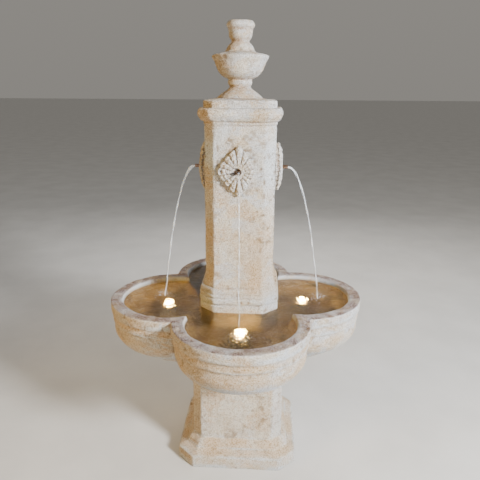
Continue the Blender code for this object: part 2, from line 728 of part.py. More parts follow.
def bulkhead():
    """The sleeve, gasket, nut and bung that let the leads out through the basin's floor."""
    at = Matrix.Translation(BULKHEAD)
    gasket = BASIN_FLOOR + GAP
    flange = gasket + GASKET_THICKNESS + GAP
    top = flange + FLANGE_THICKNESS
    ring = tube_profile(SLEEVE_OUTER + GAP, 0.025, gasket, gasket + GASKET_THICKNESS)
    turned_object("bulkhead_gasket", ring, RUBBER, None, at)
    sleeve = [
        (FLANGE_RADIUS, top), (FLANGE_RADIUS, flange), (SLEEVE_OUTER, flange),
        (SLEEVE_OUTER, SLEEVE_END), (SLEEVE_INNER, SLEEVE_END), (SLEEVE_INNER, top),
    ]
    turned_object("bulkhead_sleeve", sleeve, BLACK_PLASTIC, None, at)
    nut_top = BASIN_BOTTOM - GAP
    nut_bottom = nut_top - NUT_THICKNESS
    hexagon = rod_mesh((0, 0, nut_bottom), (0, 0, nut_top), 0.0275, sides=6)
    nut = new_object("bulkhead_nut", hexagon, BLACK_PLASTIC, None, at)
    combine(nut, rod_mesh((0, 0, nut_bottom - 0.01), (0, 0, nut_top + 0.01), SLEEVE_OUTER + GAP, sides=24))
    bung = [
        (0.0, BUNG_TOP), (0.0138, BUNG_TOP), (0.0150, BUNG_TOP - 0.0012), (0.0150, top + GAP),
        (SLEEVE_INNER - GAP, top + GAP), (0.0112, top - 0.022), (0.0, top - 0.022),
    ]
    turned_object("lead_bung", bung, RUBBER, None, at, closed=False)


def pump_body():
    """The pump's housing, with the impeller's chamber, the rotor's bore and the outlet nozzle."""
    obj = new_object("pump_body", box_mesh(PUMP_LOW, PUMP_HIGH), BLACK_PLASTIC)
    bevel = obj.modifiers.new("edges", "BEVEL")
    bevel.width = 0.004
    bevel.segments = 2
    axis = PUMP_AXIS
    base = Vector((NOZZLE.x, NOZZLE.y, PUMP_HIGH.z - 0.004))
    tip = Vector((NOZZLE.x, NOZZLE.y, NOZZLE_TOP))
    combine(obj, rod_mesh(base, tip, NOZZLE_RADIUS), "UNION")
    front = axis + Vector((PUMP_HIGH.x + 0.01, 0, 0))
    combine(obj, rod_mesh(axis + Vector((CHAMBER_START, 0, 0)), front, CHAMBER_RADIUS, sides=24))
    combine(obj, rod_mesh(axis + Vector((ROTOR_START, 0, 0)), front, ROTOR_BORE))
    combine(obj, rod_mesh(Vector((NOZZLE.x, NOZZLE.y, axis.z)), tip + Vector((0, 0, 0.01)), NOZZLE_BORE))


def pump_covers():
    """The plate over the impeller's chamber, and the slotted intake cover that pulls off it."""
    start = PUMP_HIGH.x + GAP
    end = start + VOLUTE_THICKNESS
    plate = new_object("volute_cover", box_mesh(
        (start, PUMP_LOW.y + 0.002, PUMP_LOW.z + 0.002),
        (end, PUMP_HIGH.y - 0.002, PUMP_HIGH.z - 0.002),
    ), GREY_PLASTIC)
    for sign in (-1, 1):
        middle = PUMP_AXIS.y + sign * 0.005
        combine(plate, box_mesh(
            (start - 0.01, middle - 0.003, PUMP_AXIS.z - 0.006),
            (end + 0.01, middle + 0.003, PUMP_AXIS.z + 0.006),
        ))
    start = end + GAP
    end = start + INTAKE_DEPTH
    at = Matrix.Translation((start, 0, 0))
    cover = new_object("intake_cover", box_mesh(
        (0, PUMP_LOW.y, PUMP_LOW.z), (INTAKE_DEPTH, PUMP_HIGH.y, PUMP_HIGH.z),
    ), BLACK_PLASTIC, None, at)
    bevel = cover.modifiers.new("edges", "BEVEL")
    bevel.width = 0.002
    bevel.segments = 2
    wall = Vector((0, INTAKE_WALL, INTAKE_WALL))
    low = Vector((-0.01, PUMP_LOW.y, PUMP_LOW.z)) + wall
    high = Vector((INTAKE_DEPTH - INTAKE_WALL, PUMP_HIGH.y, PUMP_HIGH.z)) - wall
    combine(cover, box_mesh(low, high))
    for i in range(-2, 3):
        middle = PUMP_AXIS.y + i * SLOT_SPACING
        combine(cover, box_mesh(
            (INTAKE_DEPTH - 0.008, middle - SLOT_WIDTH / 2, PUMP_AXIS.z - 0.020),
            (INTAKE_DEPTH + 0.01, middle + SLOT_WIDTH / 2, PUMP_AXIS.z + 0.020),
        ))


def pump_rotor():
    """The magnet rotor with its blades, and the ceramic shaft that it turns on."""
    at = Matrix.Translation(PUMP_AXIS)
    start = ROTOR_START + 0.0015
    end = PUMP_HIGH.x - 0.004
    rotor = new_object("impeller", rod_mesh((start, 0, 0), (0.0125, 0, 0), ROTOR_RADIUS), MAGNET, None, at)
    combine(rotor, rod_mesh((0.012, 0, 0), (end, 0, 0), 0.005), "UNION")
    for i in range(3):
        blade = box_mesh((0.0118, -BLADE_RADIUS, -0.0009), (end - 0.0012, BLADE_RADIUS, 0.0009))
        blade.transform(Matrix.Rotation(i * math.pi / 3, 4, "X"))
        combine(rotor, blade, "UNION")
    combine(rotor, rod_mesh((start - 0.01, 0, 0), (end + 0.01, 0, 0), SHAFT_RADIUS + GAP, sides=12))
    shaft = rod_mesh((ROTOR_START + GAP, 0, 0), (PUMP_HIGH.x, 0, 0), SHAFT_RADIUS, sides=12)
    new_object("impeller_shaft", shaft, CERAMIC, None, at)


def pump_dial():
    """The flow dial on the pump's side, which turns about Y."""
    dial = rod_mesh((0, 0, 0), (0, -0.004, 0), DIAL_RADIUS)
    obj = new_object("flow_dial", dial, GREY_PLASTIC, None, Matrix.Translation(DIAL_PLACE))
    combine(obj, box_mesh((-0.0012, -0.0075, -0.0085), (0.0012, -0.003, 0.0085)), "UNION")


def pump_feet():
    """Four suction feet under the pump."""
    for number, (x, y) in enumerate(FOOT_PLACES, 1):
        at = Matrix.Translation((x, y, BASIN_FLOOR))
        height = PUMP_LOW.z - BASIN_FLOOR - GAP
        foot = [
            (0.0, height), (0.0040, height), (0.0035, height - 0.003),
            (0.0085, GAP + 0.0012), (0.0090, GAP), (0.0, GAP),
        ]
        turned_object(f"pump_foot_{number}", foot, RUBBER, None, at, steps=12, closed=False)


def outline_mesh(points, thickness):
    """A plate of a flat outline, as thick as stated, made from a filled curve."""
    curve = bpy.data.curves.new("outline", "CURVE")
    curve.dimensions = "2D"
    curve.fill_mode = "BOTH"
    curve.extrude = thickness / 2
    spline = curve.splines.new("POLY")
    spline.points.add(len(points) - 1)
    for knot, (x, y) in zip(spline.points, points):
        knot.co = (x, y, 0.0, 1.0)
    spline.use_cyclic_u = True
    holder = bpy.data.objects.new("outline", curve)
    CUTTERS.objects.link(holder)
    graph = bpy.context.evaluated_depsgraph_get()
    mesh = bpy.data.meshes.new_from_object(holder.evaluated_get(graph))
    bpy.data.objects.remove(holder, do_unlink=True)
    bm = bmesh.new()
    bm.from_mesh(mesh)
    bmesh.ops.remove_doubles(bm, verts=bm.verts, dist=0.00001)
    bm.to_mesh(mesh)
    bm.free()
    return mesh


def lamp_bracket(side, pivot, parent):
    """A bent steel strip: a base on the basin's floor and an ear on each side of the lamp."""
    inner = LAMP_RADIUS + EAR_GAP
    outer = inner + EAR_THICKNESS
    base = BASIN_FLOOR - LAMP_PIVOT + GAP
    plate = base + EAR_THICKNESS
    strip = [
        (-outer, base), (outer, base), (outer, EAR_TOP), (inner, EAR_TOP),
        (inner, plate), (-inner, plate), (-inner, EAR_TOP), (-outer, EAR_TOP),
    ]
    mesh = outline_mesh(strip, EAR_WIDTH)
    upright = Matrix(((0, 0, 1, 0), (1, 0, 0, 0), (0, 1, 0, 0), (0, 0, 0, 1)))
    mesh.transform(upright)
    bracket = new_object("lamp_bracket_" + side, mesh, STEEL, parent, pivot)
    combine(bracket, rod_mesh((0, -0.05, 0), (0, 0.05, 0), STUD_RADIUS + GAP, sides=12))


def lamp_head(side, pivot, parent):
    """A lamp's housing on its two studs, with the LED board, lens and bezel in it."""
    body = rod_mesh((0, 0, LAMP_BOTTOM), (0, 0, LAMP_RIM), LAMP_RADIUS, sides=20)
    housing = new_object("lamp_housing_" + side, body, BLACK_PLASTIC, parent, pivot)
    lead_end = LEAD_SIDES[side] * (LAMP_RADIUS + 0.0085)
    far_end = -LEAD_SIDES[side] * (LAMP_RADIUS + 0.0050)
    combine(housing, rod_mesh((0, far_end, 0), (0, lead_end, 0), STUD_RADIUS, sides=12), "UNION")
    cavity = rod_mesh((0, 0, LAMP_BOTTOM + 0.008), (0, 0, LAMP_RIM + 0.01), 0.019, sides=20)
    combine(housing, cavity)
    board = rod_mesh((0, 0, LAMP_BOTTOM + 0.0083), (0, 0, LAMP_BOTTOM + 0.0110), 0.0185)
    new_object("lamp_led_" + side, board, LED, parent, pivot)
    low = LAMP_RIM + GAP
    dome = [
        (0.0, low + 0.0045), (0.010, low + 0.0041), (0.0182, low + 0.0029),
        (LENS_RADIUS, low + 0.0028), (LENS_RADIUS, low), (0.0, low),
    ]
    turned_object("lamp_lens_" + side, dome, LENS, parent, pivot, steps=20, closed=False)
    seat = LENS_RADIUS + GAP
    bezel = [
        (0.0186, low + 0.0058), (0.0240, low + 0.0058), (BEZEL_RADIUS, low + 0.0044), (BEZEL_RADIUS, low),
        (seat, low), (seat, low + 0.0032), (0.0186, low + 0.0034),
    ]
    turned_object("lamp_bezel_" + side, bezel, STEEL, parent, pivot, steps=20)


def leads():
    """The lamps' and the pump's leads, each laid along its route to the bung."""
    for name, points in LEAD_ROUTES.items():
        path = [Vector((x, y, max(z, LEAD_FLOOR))) for x, y, z in smooth_path(points, LEAD_STEPS)]
        curve = path_curve(name, path, LEAD_RADIUS, 2)
        new_object(name, curve, LEAD)


def fountain():
    """Build every sub-part."""
    pedestal()
    basin()
    column()
    finial()
    for side, degrees in SIDES.items():
        turn = Matrix.Rotation(math.radians(degrees), 4, "Z")
        face = new_empty("column_" + side, set_stone(COLUMN_SHIFT) @ turn)
        rosette(side, face)
        spout(side, face)
        branch_hose(side, face)
        lobe = new_empty("lobe_" + side, turn)
        distance, offset = LAMP_PLACES[side]
        pivot = Matrix.Translation((distance, offset, LAMP_PIVOT))
        lamp_bracket(side, pivot, lobe)
        lamp_head(side, pivot, lobe)
    manifold()
    riser()
    bulkhead()
    pump_body()
    pump_covers()
    pump_rotor()
    pump_dial()
    pump_feet()
    leads()


fountain()
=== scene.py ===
"""A cast-stone garden fountain with running water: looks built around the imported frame."""

import json
import math
from itertools import combinations

import bpy
import numpy as np
from mathutils import Matrix, Vector


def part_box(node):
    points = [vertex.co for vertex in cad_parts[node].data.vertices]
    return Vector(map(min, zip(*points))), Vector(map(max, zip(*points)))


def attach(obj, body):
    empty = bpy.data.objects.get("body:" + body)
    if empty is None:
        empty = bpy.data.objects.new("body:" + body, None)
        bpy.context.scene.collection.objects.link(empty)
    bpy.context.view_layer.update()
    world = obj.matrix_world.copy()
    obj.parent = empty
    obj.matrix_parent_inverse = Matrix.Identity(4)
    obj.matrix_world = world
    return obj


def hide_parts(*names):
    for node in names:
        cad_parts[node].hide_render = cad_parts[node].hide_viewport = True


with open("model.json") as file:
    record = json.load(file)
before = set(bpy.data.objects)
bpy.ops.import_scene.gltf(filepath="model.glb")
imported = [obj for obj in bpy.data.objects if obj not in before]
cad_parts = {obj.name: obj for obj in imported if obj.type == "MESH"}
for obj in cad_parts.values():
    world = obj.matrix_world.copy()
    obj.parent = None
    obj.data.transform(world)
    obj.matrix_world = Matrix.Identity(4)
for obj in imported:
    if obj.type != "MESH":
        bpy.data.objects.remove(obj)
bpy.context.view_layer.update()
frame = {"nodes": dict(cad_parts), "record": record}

SIDES = {"front": -90.0, "right": 0.0, "rear": 90.0, "left": 180.0}

# The pedestal, column and finial stand turned from the basin and off its centre
STONE_TURN = math.radians(-7.0)
PEDESTAL_SHIFT = 0.0135
COLUMN_SHIFT = 0.0135
FINIAL_SHIFT = 0.0120
URN_OFFSET = -0.0048

# Height, half-width and corner cut of each level
PEDESTAL_TOP = 0.385
PEDESTAL_LEVELS = [
    (0.0003, 0.2310, 0.0640), (0.0030, 0.2325, 0.0640), (0.0420, 0.2325, 0.0640), (0.0460, 0.2310, 0.0635),
    (0.0490, 0.2270, 0.0620), (0.0620, 0.2010, 0.0500), (0.0650, 0.1985, 0.0480), (0.0720, 0.1955, 0.0460),
    (0.0800, 0.1915, 0.0440), (0.0940, 0.1800, 0.0390), (0.0990, 0.1755, 0.0370),
    (PEDESTAL_TOP, 0.1755, 0.0370),
]
PEDESTAL_HOLLOW = (0.132, 0.024)
PEDESTAL_FOOT = PEDESTAL_LEVELS[0][0]
COLUMN_FOOT = 0.4753
COLUMN_TOP = 1.3525
COLUMN_LEVELS = [
    (COLUMN_FOOT, 0.1470, 0.056), (0.6400, 0.1470, 0.056), (0.6437, 0.1466, 0.056), (0.6450, 0.1405, 0.054),
    (0.6478, 0.1400, 0.054), (0.6500, 0.1462, 0.056), (0.6550, 0.1487, 0.056), (0.6630, 0.1495, 0.057),
    (0.6705, 0.1488, 0.056), (0.6728, 0.1440, 0.054), (0.6748, 0.1440, 0.054), (0.6768, 0.1476, 0.055),
    (0.6855, 0.1478, 0.055), (0.6880, 0.1425, 0.053), (0.6902, 0.1425, 0.053), (0.6925, 0.1462, 0.054),
    (0.7040, 0.1440, 0.052), (0.7090, 0.1415, 0.051), (0.7105, 0.1350, 0.047), (0.7130, 0.1342, 0.046),
    (0.7160, 0.1362, 0.046), (0.7230, 0.1340, 0.043), (0.7330, 0.1292, 0.039), (0.7460, 0.1260, 0.036),
    (1.2925, 0.1260, 0.036), (1.2945, 0.1236, 0.035), (1.2962, 0.1240, 0.036), (1.2985, 0.1278, 0.037),
    (1.3035, 0.1290, 0.037), (1.3050, 0.1262, 0.036), (1.3068, 0.1270, 0.037), (1.3095, 0.1345, 0.038),
    (1.3206, 0.1430, 0.041), (1.3290, 0.1464, 0.042), (1.3380, 0.1473, 0.042), (1.3470, 0.1455, 0.041),
    (1.3500, 0.1438, 0.040), (COLUMN_TOP, 0.1400, 0.039),
]
COLUMN_HOLLOW = (0.090, 0.020)
CUTTER_REACH = 0.2

# Each notch's width and the height of its top
NOTCHES = {"column": (0.036, COLUMN_FOOT + 0.026), "pedestal": (0.060, 0.035)}

# The basin: a lobe's outline is a circle about its centre, cut off at the diagonals.
# Its bands and inner side are heights and lobe radii, and its dish is heights and shares of the last outline.
LOBE_CENTRE = 0.245
BASIN_BOTTOM = 0.3853
BASIN_FLOOR = 0.475
BASIN_FOOT = (0.1600, 0.034)
BOWL_TOP = (0.530, 0.235)
BOWL_DEPTH = 0.113
RIM_TOP = 0.6375
BASIN_BANDS = [
    (0.5610, 0.2338), (0.5632, 0.2350), (0.5652, 0.2388), (0.5685, 0.2399), (0.5740, 0.2396),
    (0.5915, 0.2376), (0.5940, 0.2380), (0.5962, 0.2424), (0.6000, 0.2448), (0.6150, 0.2450),
    (0.6310, 0.2450), (0.6355, 0.2440), (RIM_TOP, 0.2410),
]
BASIN_INSIDE = [(RIM_TOP, 0.2010), (0.6350, 0.1980), (0.6200, 0.1960), (0.5600, 0.1910), (0.5150, 0.1800)]
BASIN_DISH = [(0.4850, 0.955), (BASIN_FLOOR, 0.890)]
BASIN_STEPS = 160

# The bulkhead hole's place and radius
BULKHEAD = (0.0, 0.050, 0.0172)
WATER_LEVEL = 0.6186
WATER_IOR = 1.333

# The finial: a square cap that turns into a round foot, then an urn of radius and height
CAP_HALF = 0.1265
CAP_CUT = 0.035
CAP_BOTTOM = 1.3528
CAP_ROUNDING = [(0.0010, 1.3765), (0.0035, 1.3785), (0.0080, 1.3797)]
URN_PROFILE = [
    (0.0820, 1.3850), (0.0790, 1.3880), (0.0680, 1.3975), (0.0560, 1.4055), (0.0480, 1.4105),
    (0.0415, 1.4165), (0.0370, 1.4215), (0.0385, 1.4260), (0.0430, 1.4310), (0.0440, 1.4370),
    (0.0430, 1.4430), (0.0405, 1.4465), (0.0524, 1.4520), (0.0630, 1.4582), (0.0705, 1.4650),
    (0.0758, 1.4715), (0.0800, 1.4785), (0.0860, 1.4920), (0.0900, 1.5040), (0.0940, 1.5100),
    (0.0975, 1.5150), (0.1005, 1.5210), (0.0990, 1.5245), (0.0965, 1.5268), (0.0900, 1.5295),
    (0.0740, 1.5330), (0.0560, 1.5365), (0.0525, 1.5400), (0.0502, 1.5440), (0.0470, 1.5510),
    (0.0432, 1.5570), (0.0380, 1.5630), (0.0325, 1.5680), (0.0305, 1.5720), (0.0345, 1.5780),
    (0.0385, 1.5825), (0.0400, 1.5860), (0.0410, 1.5940), (0.0415, 1.6020), (0.0422, 1.6090),
    (0.0440, 1.6135), (0.0490, 1.6190), (0.0500, 1.6240), (0.0490, 1.6290), (0.0440, 1.6350),
    (0.0390, 1.6388), (0.0340, 1.6370), (0.0270, 1.6325), (0.0200, 1.6290), (0.0080, 1.6272),
]

SPOUT_HEIGHT = 1.143
SPOUT_TIP = 0.171
SPOUT_BORE = 0.0066
ROSETTE_FACE = 0.1263
ROSETTE_RISE = 0.027
ROSETTE_HALF_WIDTH = 0.067
ROSETTE_HALF_HEIGHT = 0.089

# How far each rosette's middle sits to one side of its spout
ROSETTE_LEADS = {"front": -0.0105, "right": 0.0, "rear": 0.0, "left": 0.0}

# How fast the water leaves each spout in metres a second, how far it turns aside in degrees, and its radius
STREAM_SPEEDS = {"front": 0.565, "right": 0.430, "rear": 0.50, "left": 0.397}
STREAM_AIMS = {"front": 5.0, "right": 8.0, "rear": 0.0, "left": 0.0}
STREAM_SIZES = {"front": 0.0018, "right": 0.0034, "rear": 0.0034, "left": 0.0036}
GRAVITY = 9.81

# Each lamp's distance from the middle and its offset to one side, and the height and power of its light
LAMP_PLACES = {"front": (0.235, 0.0), "right": (0.272, 0.045), "rear": (0.240, 0.0), "left": (0.272, -0.045)}
LAMP_LIGHT_HEIGHT = 0.545
LAMP_LIGHT_POWER = 2.0
FLOOR_REACH = 90.0

# The camera's place, its azimuth, downward pitch and roll in degrees, its lens in millimetres and its shift
CAMERA_PLACE = (-0.1178, -1.8518, 1.4069)
CAMERA_ANGLES = (-3.766, 16.448, 0.438)
CAMERA_LENS = 37.77
CAMERA_SHIFT = 0.0039


def turned(shift):
    """The place of a piece that stands turned and off centre."""
    return Matrix.Translation((shift, 0.0, 0.0)) @ Matrix.Rotation(STONE_TURN, 4, "Z")


# ---------------------------------------------------------------- noise and mesh helpers
def lattice(cells, seed):
    """A repeatable number from 0 to 1 for each cell of a grid."""
    code = cells[:, 0] * 374761393 + cells[:, 1] * 668265263 + cells[:, 2] * 1442695041 + seed * 974634777
    code &= 0xFFFFFFFF
    code = ((code ^ (code >> 13)) * 1274126177) & 0xFFFFFFFF
    code ^= code >> 16
    return code / 4294967296.0


def noise(points, size, seed):
    """Smooth noise from -1 to 1, with features of a size."""
    scaled = points / size + 1000.0
    base = np.floor(scaled).astype(np.int64)
    part = scaled - base
    part = part * part * (3 - 2 * part)
    total = np.zeros(len(points))
    for corner in range(8):
        step = np.array([corner & 1, corner >> 1 & 1, corner >> 2 & 1])
        weight = np.prod(np.where(step, part, 1 - part), axis=1)
        total += weight * lattice(base + step, seed)
    return 2 * total - 1


def read(items, name, width):
    """A mesh array as numpy."""
    values = np.zeros(len(items) * width, np.float32)
    items.foreach_get(name, values)
    return values.reshape(-1, width).astype(float)


def write_points(mesh, points):
    """Move a mesh's vertices."""
    mesh.vertices.foreach_set("co", points.astype(np.float32).ravel())
    mesh.update()


def write_mask(mesh, name, values):
    """Store a number for each vertex, for the materials."""
    layer = mesh.attributes.get(name) or mesh.attributes.new(name, "FLOAT", "POINT")
    layer.data.foreach_set("value", values.astype(np.float32))


def inward(mesh):
    """Whether a closed mesh's faces point into it."""
    mesh.calc_loop_triangles()
    corners = np.zeros(len(mesh.loop_triangles) * 3, np.int32)
    mesh.loop_triangles.foreach_get("vertices", corners)
    a, b, c = np.moveaxis(read(mesh.vertices, "co", 3)[corners.reshape(-1, 3)], 1, 0)
    return (a * np.cross(b, c)).sum() < -1e-12


def new_piece(name, points, faces, material):
    """A smooth mesh object in the scene."""
    mesh = bpy.data.meshes.new(name)
    mesh.from_pydata(points.tolist(), [], faces.tolist() if hasattr(faces, "tolist") else faces)
    mesh.update()
    if inward(mesh):
        mesh.flip_normals()
    mesh.shade_smooth()
    mesh.materials.append(material)
    piece = bpy.data.objects.new(name, mesh)
    bpy.context.scene.collection.objects.link(piece)
    return piece


def loft(name, rings, material, ring_closed=True):
    """A closed skin through rings of equal length; the last ring joins the first, or both are capped."""
    rings = np.array(rings)
    count, length = rings.shape[:2]
    index = np.arange(count * length).reshape(count, length)
    beside = np.roll(index, -1, 1)
    above = np.roll(index, -1, 0)
    corner = np.roll(beside, -1, 0)
    rows = slice(None) if ring_closed else slice(0, count - 1)
    faces = np.stack([index[rows], beside[rows], corner[rows], above[rows]], -1).reshape(-1, 4).tolist()
    if not ring_closed:
        faces.append(index[0][::-1].tolist())
        faces.append(index[-1].tolist())
    return new_piece(name, rings.reshape(-1, 3), faces, material)


def cut(piece, meshes):
    """Cut closed meshes out of a piece."""
    for number, mesh in enumerate(meshes):
        tool = bpy.data.objects.new(f"tool_{number}", mesh)
        bpy.context.scene.collection.objects.link(tool)
        modifier = piece.modifiers.new("cut", "BOOLEAN")
        modifier.operation = "DIFFERENCE"
        modifier.solver = "EXACT"
        modifier.object = tool
        graph = bpy.context.evaluated_depsgraph_get()
        result = bpy.data.meshes.new_from_object(piece.evaluated_get(graph))
        piece.modifiers.clear()
        old = piece.data
        piece.data = result
        bpy.data.meshes.remove(old)
        bpy.data.objects.remove(tool)
        bpy.data.meshes.remove(mesh)


def box_mesh(low, high):
    """A box between two corners."""
    x, y, z = zip(low, high)
    points = [(x[i], y[j], z[k]) for i in (0, 1) for j in (0, 1) for k in (0, 1)]
    faces = [(0, 1, 3, 2), (4, 6, 7, 5), (0, 4, 5, 1), (2, 3, 7, 6), (0, 2, 6, 4), (1, 5, 7, 3)]
    mesh = bpy.data.meshes.new("box")
    mesh.from_pydata(points, [], faces)
    return mesh


def divide(levels, step, fine=0.0):
    """More levels between those of a profile, no further apart than a step, or a finer one at mouldings."""
    levels = np.array(levels, float)
    out = [levels[0]]
    for first, second in zip(levels, levels[1:]):
        length = np.linalg.norm((second - first)[:2])
        parts = max(1, math.ceil(length / (fine if fine and length < 0.02 else step)))
        out += [first + (second - first) * i / parts for i in range(1, parts + 1)]
    return out


def cut_square(half, corner, z, side_steps, corner_steps):
    """A square with its corners cut off, with points along its edges, anticlockwise."""
    side = half - corner
    plan = np.array([
        (half, -side), (half, side), (side, half), (-side, half),
        (-half, side), (-half, -side), (-side, -half), (side, -half),
    ])
    ring = []
    for i in range(8):
        steps = corner_steps if i % 2 else side_steps
        start, end = plan[i], plan[(i + 1) % 8]
        for j in range(steps):
            ring.append((*(start + (end - start) * j / steps), z))
    return np.array(ring)


def weather(piece, seed, node, rounding=2, wear=1.0, level=0.0011, flats=(), spare=0.0):
    """Round a stone piece's edges, make its surface uneven, pitted and chipped, and store its masks.

    Points on the horizontal flats, where it meets its neighbours, stay where they are.
    """
    mesh = piece.data
    points = read(mesh.vertices, "co", 3)
    edges = np.zeros(len(mesh.edges) * 2, np.int32)
    mesh.edges.foreach_get("vertices", edges)
    edges = edges.reshape(-1, 2)
    ends = np.concatenate([edges[:, 0], edges[:, 1]])
    others = np.concatenate([edges[:, 1], edges[:, 0]])
    degree = np.maximum(np.bincount(ends, minlength=len(points)), 1)

    def around(values):
        if values.ndim == 1:
            return np.bincount(ends, values[others], len(values)) / degree
        return np.stack([around(values[:, i]) for i in range(values.shape[1])], 1)

    hold = np.ones(len(points))
    for z in flats:
        hold[np.abs(points[:, 2] - z) < 0.0006] = 0.0
    for _ in range(rounding):
        points += 0.5 * hold[:, None] * (around(points) - points)
    write_points(mesh, points)
    normals = read(mesh.vertices, "normal", 3)
    spans = ((points[ends] - points[others]) ** 2).sum(1)
    spans = np.bincount(ends, spans, len(points)) / degree
    bend = -((around(points) - points) * normals).sum(1) * 4 / np.maximum(spans, 1e-7)
    for _ in range(4):
        bend = 0.5 * (bend + around(bend))
    edge = np.clip((bend - 12) / 55, 0, 1)
    # Hollows, where the materials paint ochre shade
    hollow_shade = np.clip((-bend - 12) / 55, 0, 1)
    patch = noise(points, 0.030, seed + 4)
    pits = np.clip((noise(points, 0.0125, seed + 3) - 0.42) / 0.30, 0, 1)
    pits *= np.clip(0.6 + noise(points, 0.11, seed + 5), 0, 1)
    shift = 0.0010 * noise(points, 0.085, seed) + 0.0007 * noise(points, 0.034, seed + 1)
    shift += 0.00045 * noise(points, 0.014, seed + 2)
    shift -= 0.0016 * pits + 0.0034 * edge * np.clip(patch - 0.05, 0, 1)
    shift = wear * shift - level
    points += normals * (shift * hold)[:, None]
    low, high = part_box(node)
    inverse = np.array(piece.matrix_world.inverted())
    world = points @ np.array(piece.matrix_world)[:3, :3].T + np.array(piece.matrix_world)[:3, 3]
    world = np.clip(world, np.array(low) - spare, np.array(high) + spare)
    points = world @ inverse[:3, :3].T + inverse[:3, 3]
    write_points(mesh, points)
    write_mask(mesh, "edge", edge)
    write_mask(mesh, "hollow_shade", hollow_shade)
    write_mask(mesh, "pits", pits)
    facing = normals @ np.array(piece.matrix_world)[:3, :3].T
    mottle = 0.8 + 0.6 * noise(points, 0.07, seed + 6)
    # Left-facing sides: painted warm shade, with some ochre staining
    write_mask(mesh, "left_stain_and_shade", np.clip(-1.35 * facing[:, 0] - 0.25, 0, 1) * np.clip(mottle, 0, 1))
    # Right-facing sides: painted bluish light
    write_mask(mesh, "right_painted_light", np.clip(1.3 * facing[:, 0] - 0.15, 0, 1) * np.clip(mottle, 0, 1))
    return points, normals


# ---------------------------------------------------------------- materials
class Nodes:
    """Short names for building a material's nodes."""

    def __init__(self, name):
        self.material = bpy.data.materials.new(name)
        self.material.use_nodes = True
        self.tree = self.material.node_tree
        self.shader = self.tree.nodes["Principled BSDF"]
        self.place = self.add("ShaderNodeTexCoord").outputs["Object"]

    def add(self, kind, **settings):
        node = self.tree.nodes.new(kind)
        for key, value in settings.items():
            setattr(node, key, value)
        return node

    def link(self, source, socket):
        self.tree.links.new(source, socket)

    def feed(self, socket, value):
        if isinstance(value, bpy.types.NodeSocket):
            self.link(value, socket)
        elif isinstance(value, tuple):
            socket.default_value = (*value, 1.0)
        else:
            socket.default_value = value

    def noise(self, scale, detail=3.0, roughness=0.55, distortion=0.0, stretch=None):
        node = self.add("ShaderNodeTexNoise")
        place = self.place
        if stretch:
            mapping = self.add("ShaderNodeMapping")
            self.link(place, mapping.inputs["Vector"])
            mapping.inputs["Scale"].default_value = stretch
            place = mapping.outputs["Vector"]
        self.link(place, node.inputs["Vector"])
        node.inputs["Scale"].default_value = scale
        node.inputs["Detail"].default_value = detail
        node.inputs["Roughness"].default_value = roughness
        node.inputs["Distortion"].default_value = distortion
        return node.outputs["Fac"]

    def cells(self, scale):
        node = self.add("ShaderNodeTexVoronoi")
        self.link(self.place, node.inputs["Vector"])
        node.inputs["Scale"].default_value = scale
        return node.outputs["Distance"]

    def mask(self, name):
        return self.add("ShaderNodeAttribute", attribute_name=name).outputs["Fac"]

    def step(self, value, low, high, start=0.0, end=1.0):
        node = self.add("ShaderNodeMapRange", interpolation_type="SMOOTHSTEP")
        self.feed(node.inputs["Value"], value)
        for key, number in zip(("From Min", "From Max", "To Min", "To Max"), (low, high, start, end)):
            node.inputs[key].default_value = number
        return node.outputs["Result"]

    def combine(self, operation, first, second):
        node = self.add("ShaderNodeMath", operation=operation)
        node.use_clamp = operation in ("MULTIPLY", "ADD")
        self.feed(node.inputs[0], first)
        self.feed(node.inputs[1], second)
        return node.outputs["Value"]

    def times(self, first, second):
        return self.combine("MULTIPLY", first, second)

    def mix(self, factor, first, second):
        node = self.add("ShaderNodeMix", data_type="RGBA")
        self.feed(node.inputs["Factor"], factor)
        self.feed(node.inputs[6], first)
        self.feed(node.inputs[7], second)
        return node.outputs[2]

    def bump(self, height, distance, strength=1.0, below=None):
        node = self.add("ShaderNodeBump")
        node.inputs["Strength"].default_value = strength
        node.inputs["Distance"].default_value = distance
        self.link(height, node.inputs["Height"])
        if below is not None:
            self.link(below, node.inputs["Normal"])
        return node.outputs["Normal"]

    def finish(self, colour, roughness, normal=None, **values):
        self.feed(self.shader.inputs["Base Color"], colour)
        self.feed(self.shader.inputs["Roughness"], roughness)
        if normal is not None:
            self.link(normal, self.shader.inputs["Normal"])
        for key, value in values.items():
            self.feed(self.shader.inputs[key.replace("_", " ")], value)
        return self.material


# Stone colours: the body, what lies on it, painted light and shade, and the silt under the water with painted
# caustic light
CREAM = (0.72, 0.505, 0.245)
PALE = (0.90, 0.81, 0.64)
SAND = (0.72, 0.400, 0.095)
LIT_PATCH_BLUE = (0.76, 0.86, 1.00)
STAIN_AND_SHADE = (0.40, 0.19, 0.045)
DRIP = (0.86, 0.86, 0.86)
WORN = (0.90, 0.92, 0.95)
SCURF = (0.84, 0.86, 0.90)
LEFT_STAIN_SHADE_OCHRE = (0.56, 0.330, 0.075)
RIGHT_LIGHT_BLUE = (0.76, 0.85, 0.98)
OCHRE_AND_SHADE = (0.72, 0.430, 0.120)
PAINTED_LIGHT_BAND = (0.78, 0.89, 1.00)
GRIT = (0.20, 0.12, 0.055)
PIT_SHADE = (0.30, 0.19, 0.09)
RIM_DARK = (0.105, 0.050, 0.036)
RIM_LIGHT = (0.66, 0.56, 0.57)
RIM_DIRT = (0.27, 0.165, 0.110)
TIDE = (0.80, 0.85, 0.93)
SILT_DARK = (0.140, 0.104, 0.060)
SILT_GOLD = (0.300, 0.235, 0.125)
CAUSTIC_PALE = (0.330, 0.270, 0.215)
SILT_BLACK = (0.060, 0.055, 0.035)
WHITE = (1.0, 1.0, 1.0)


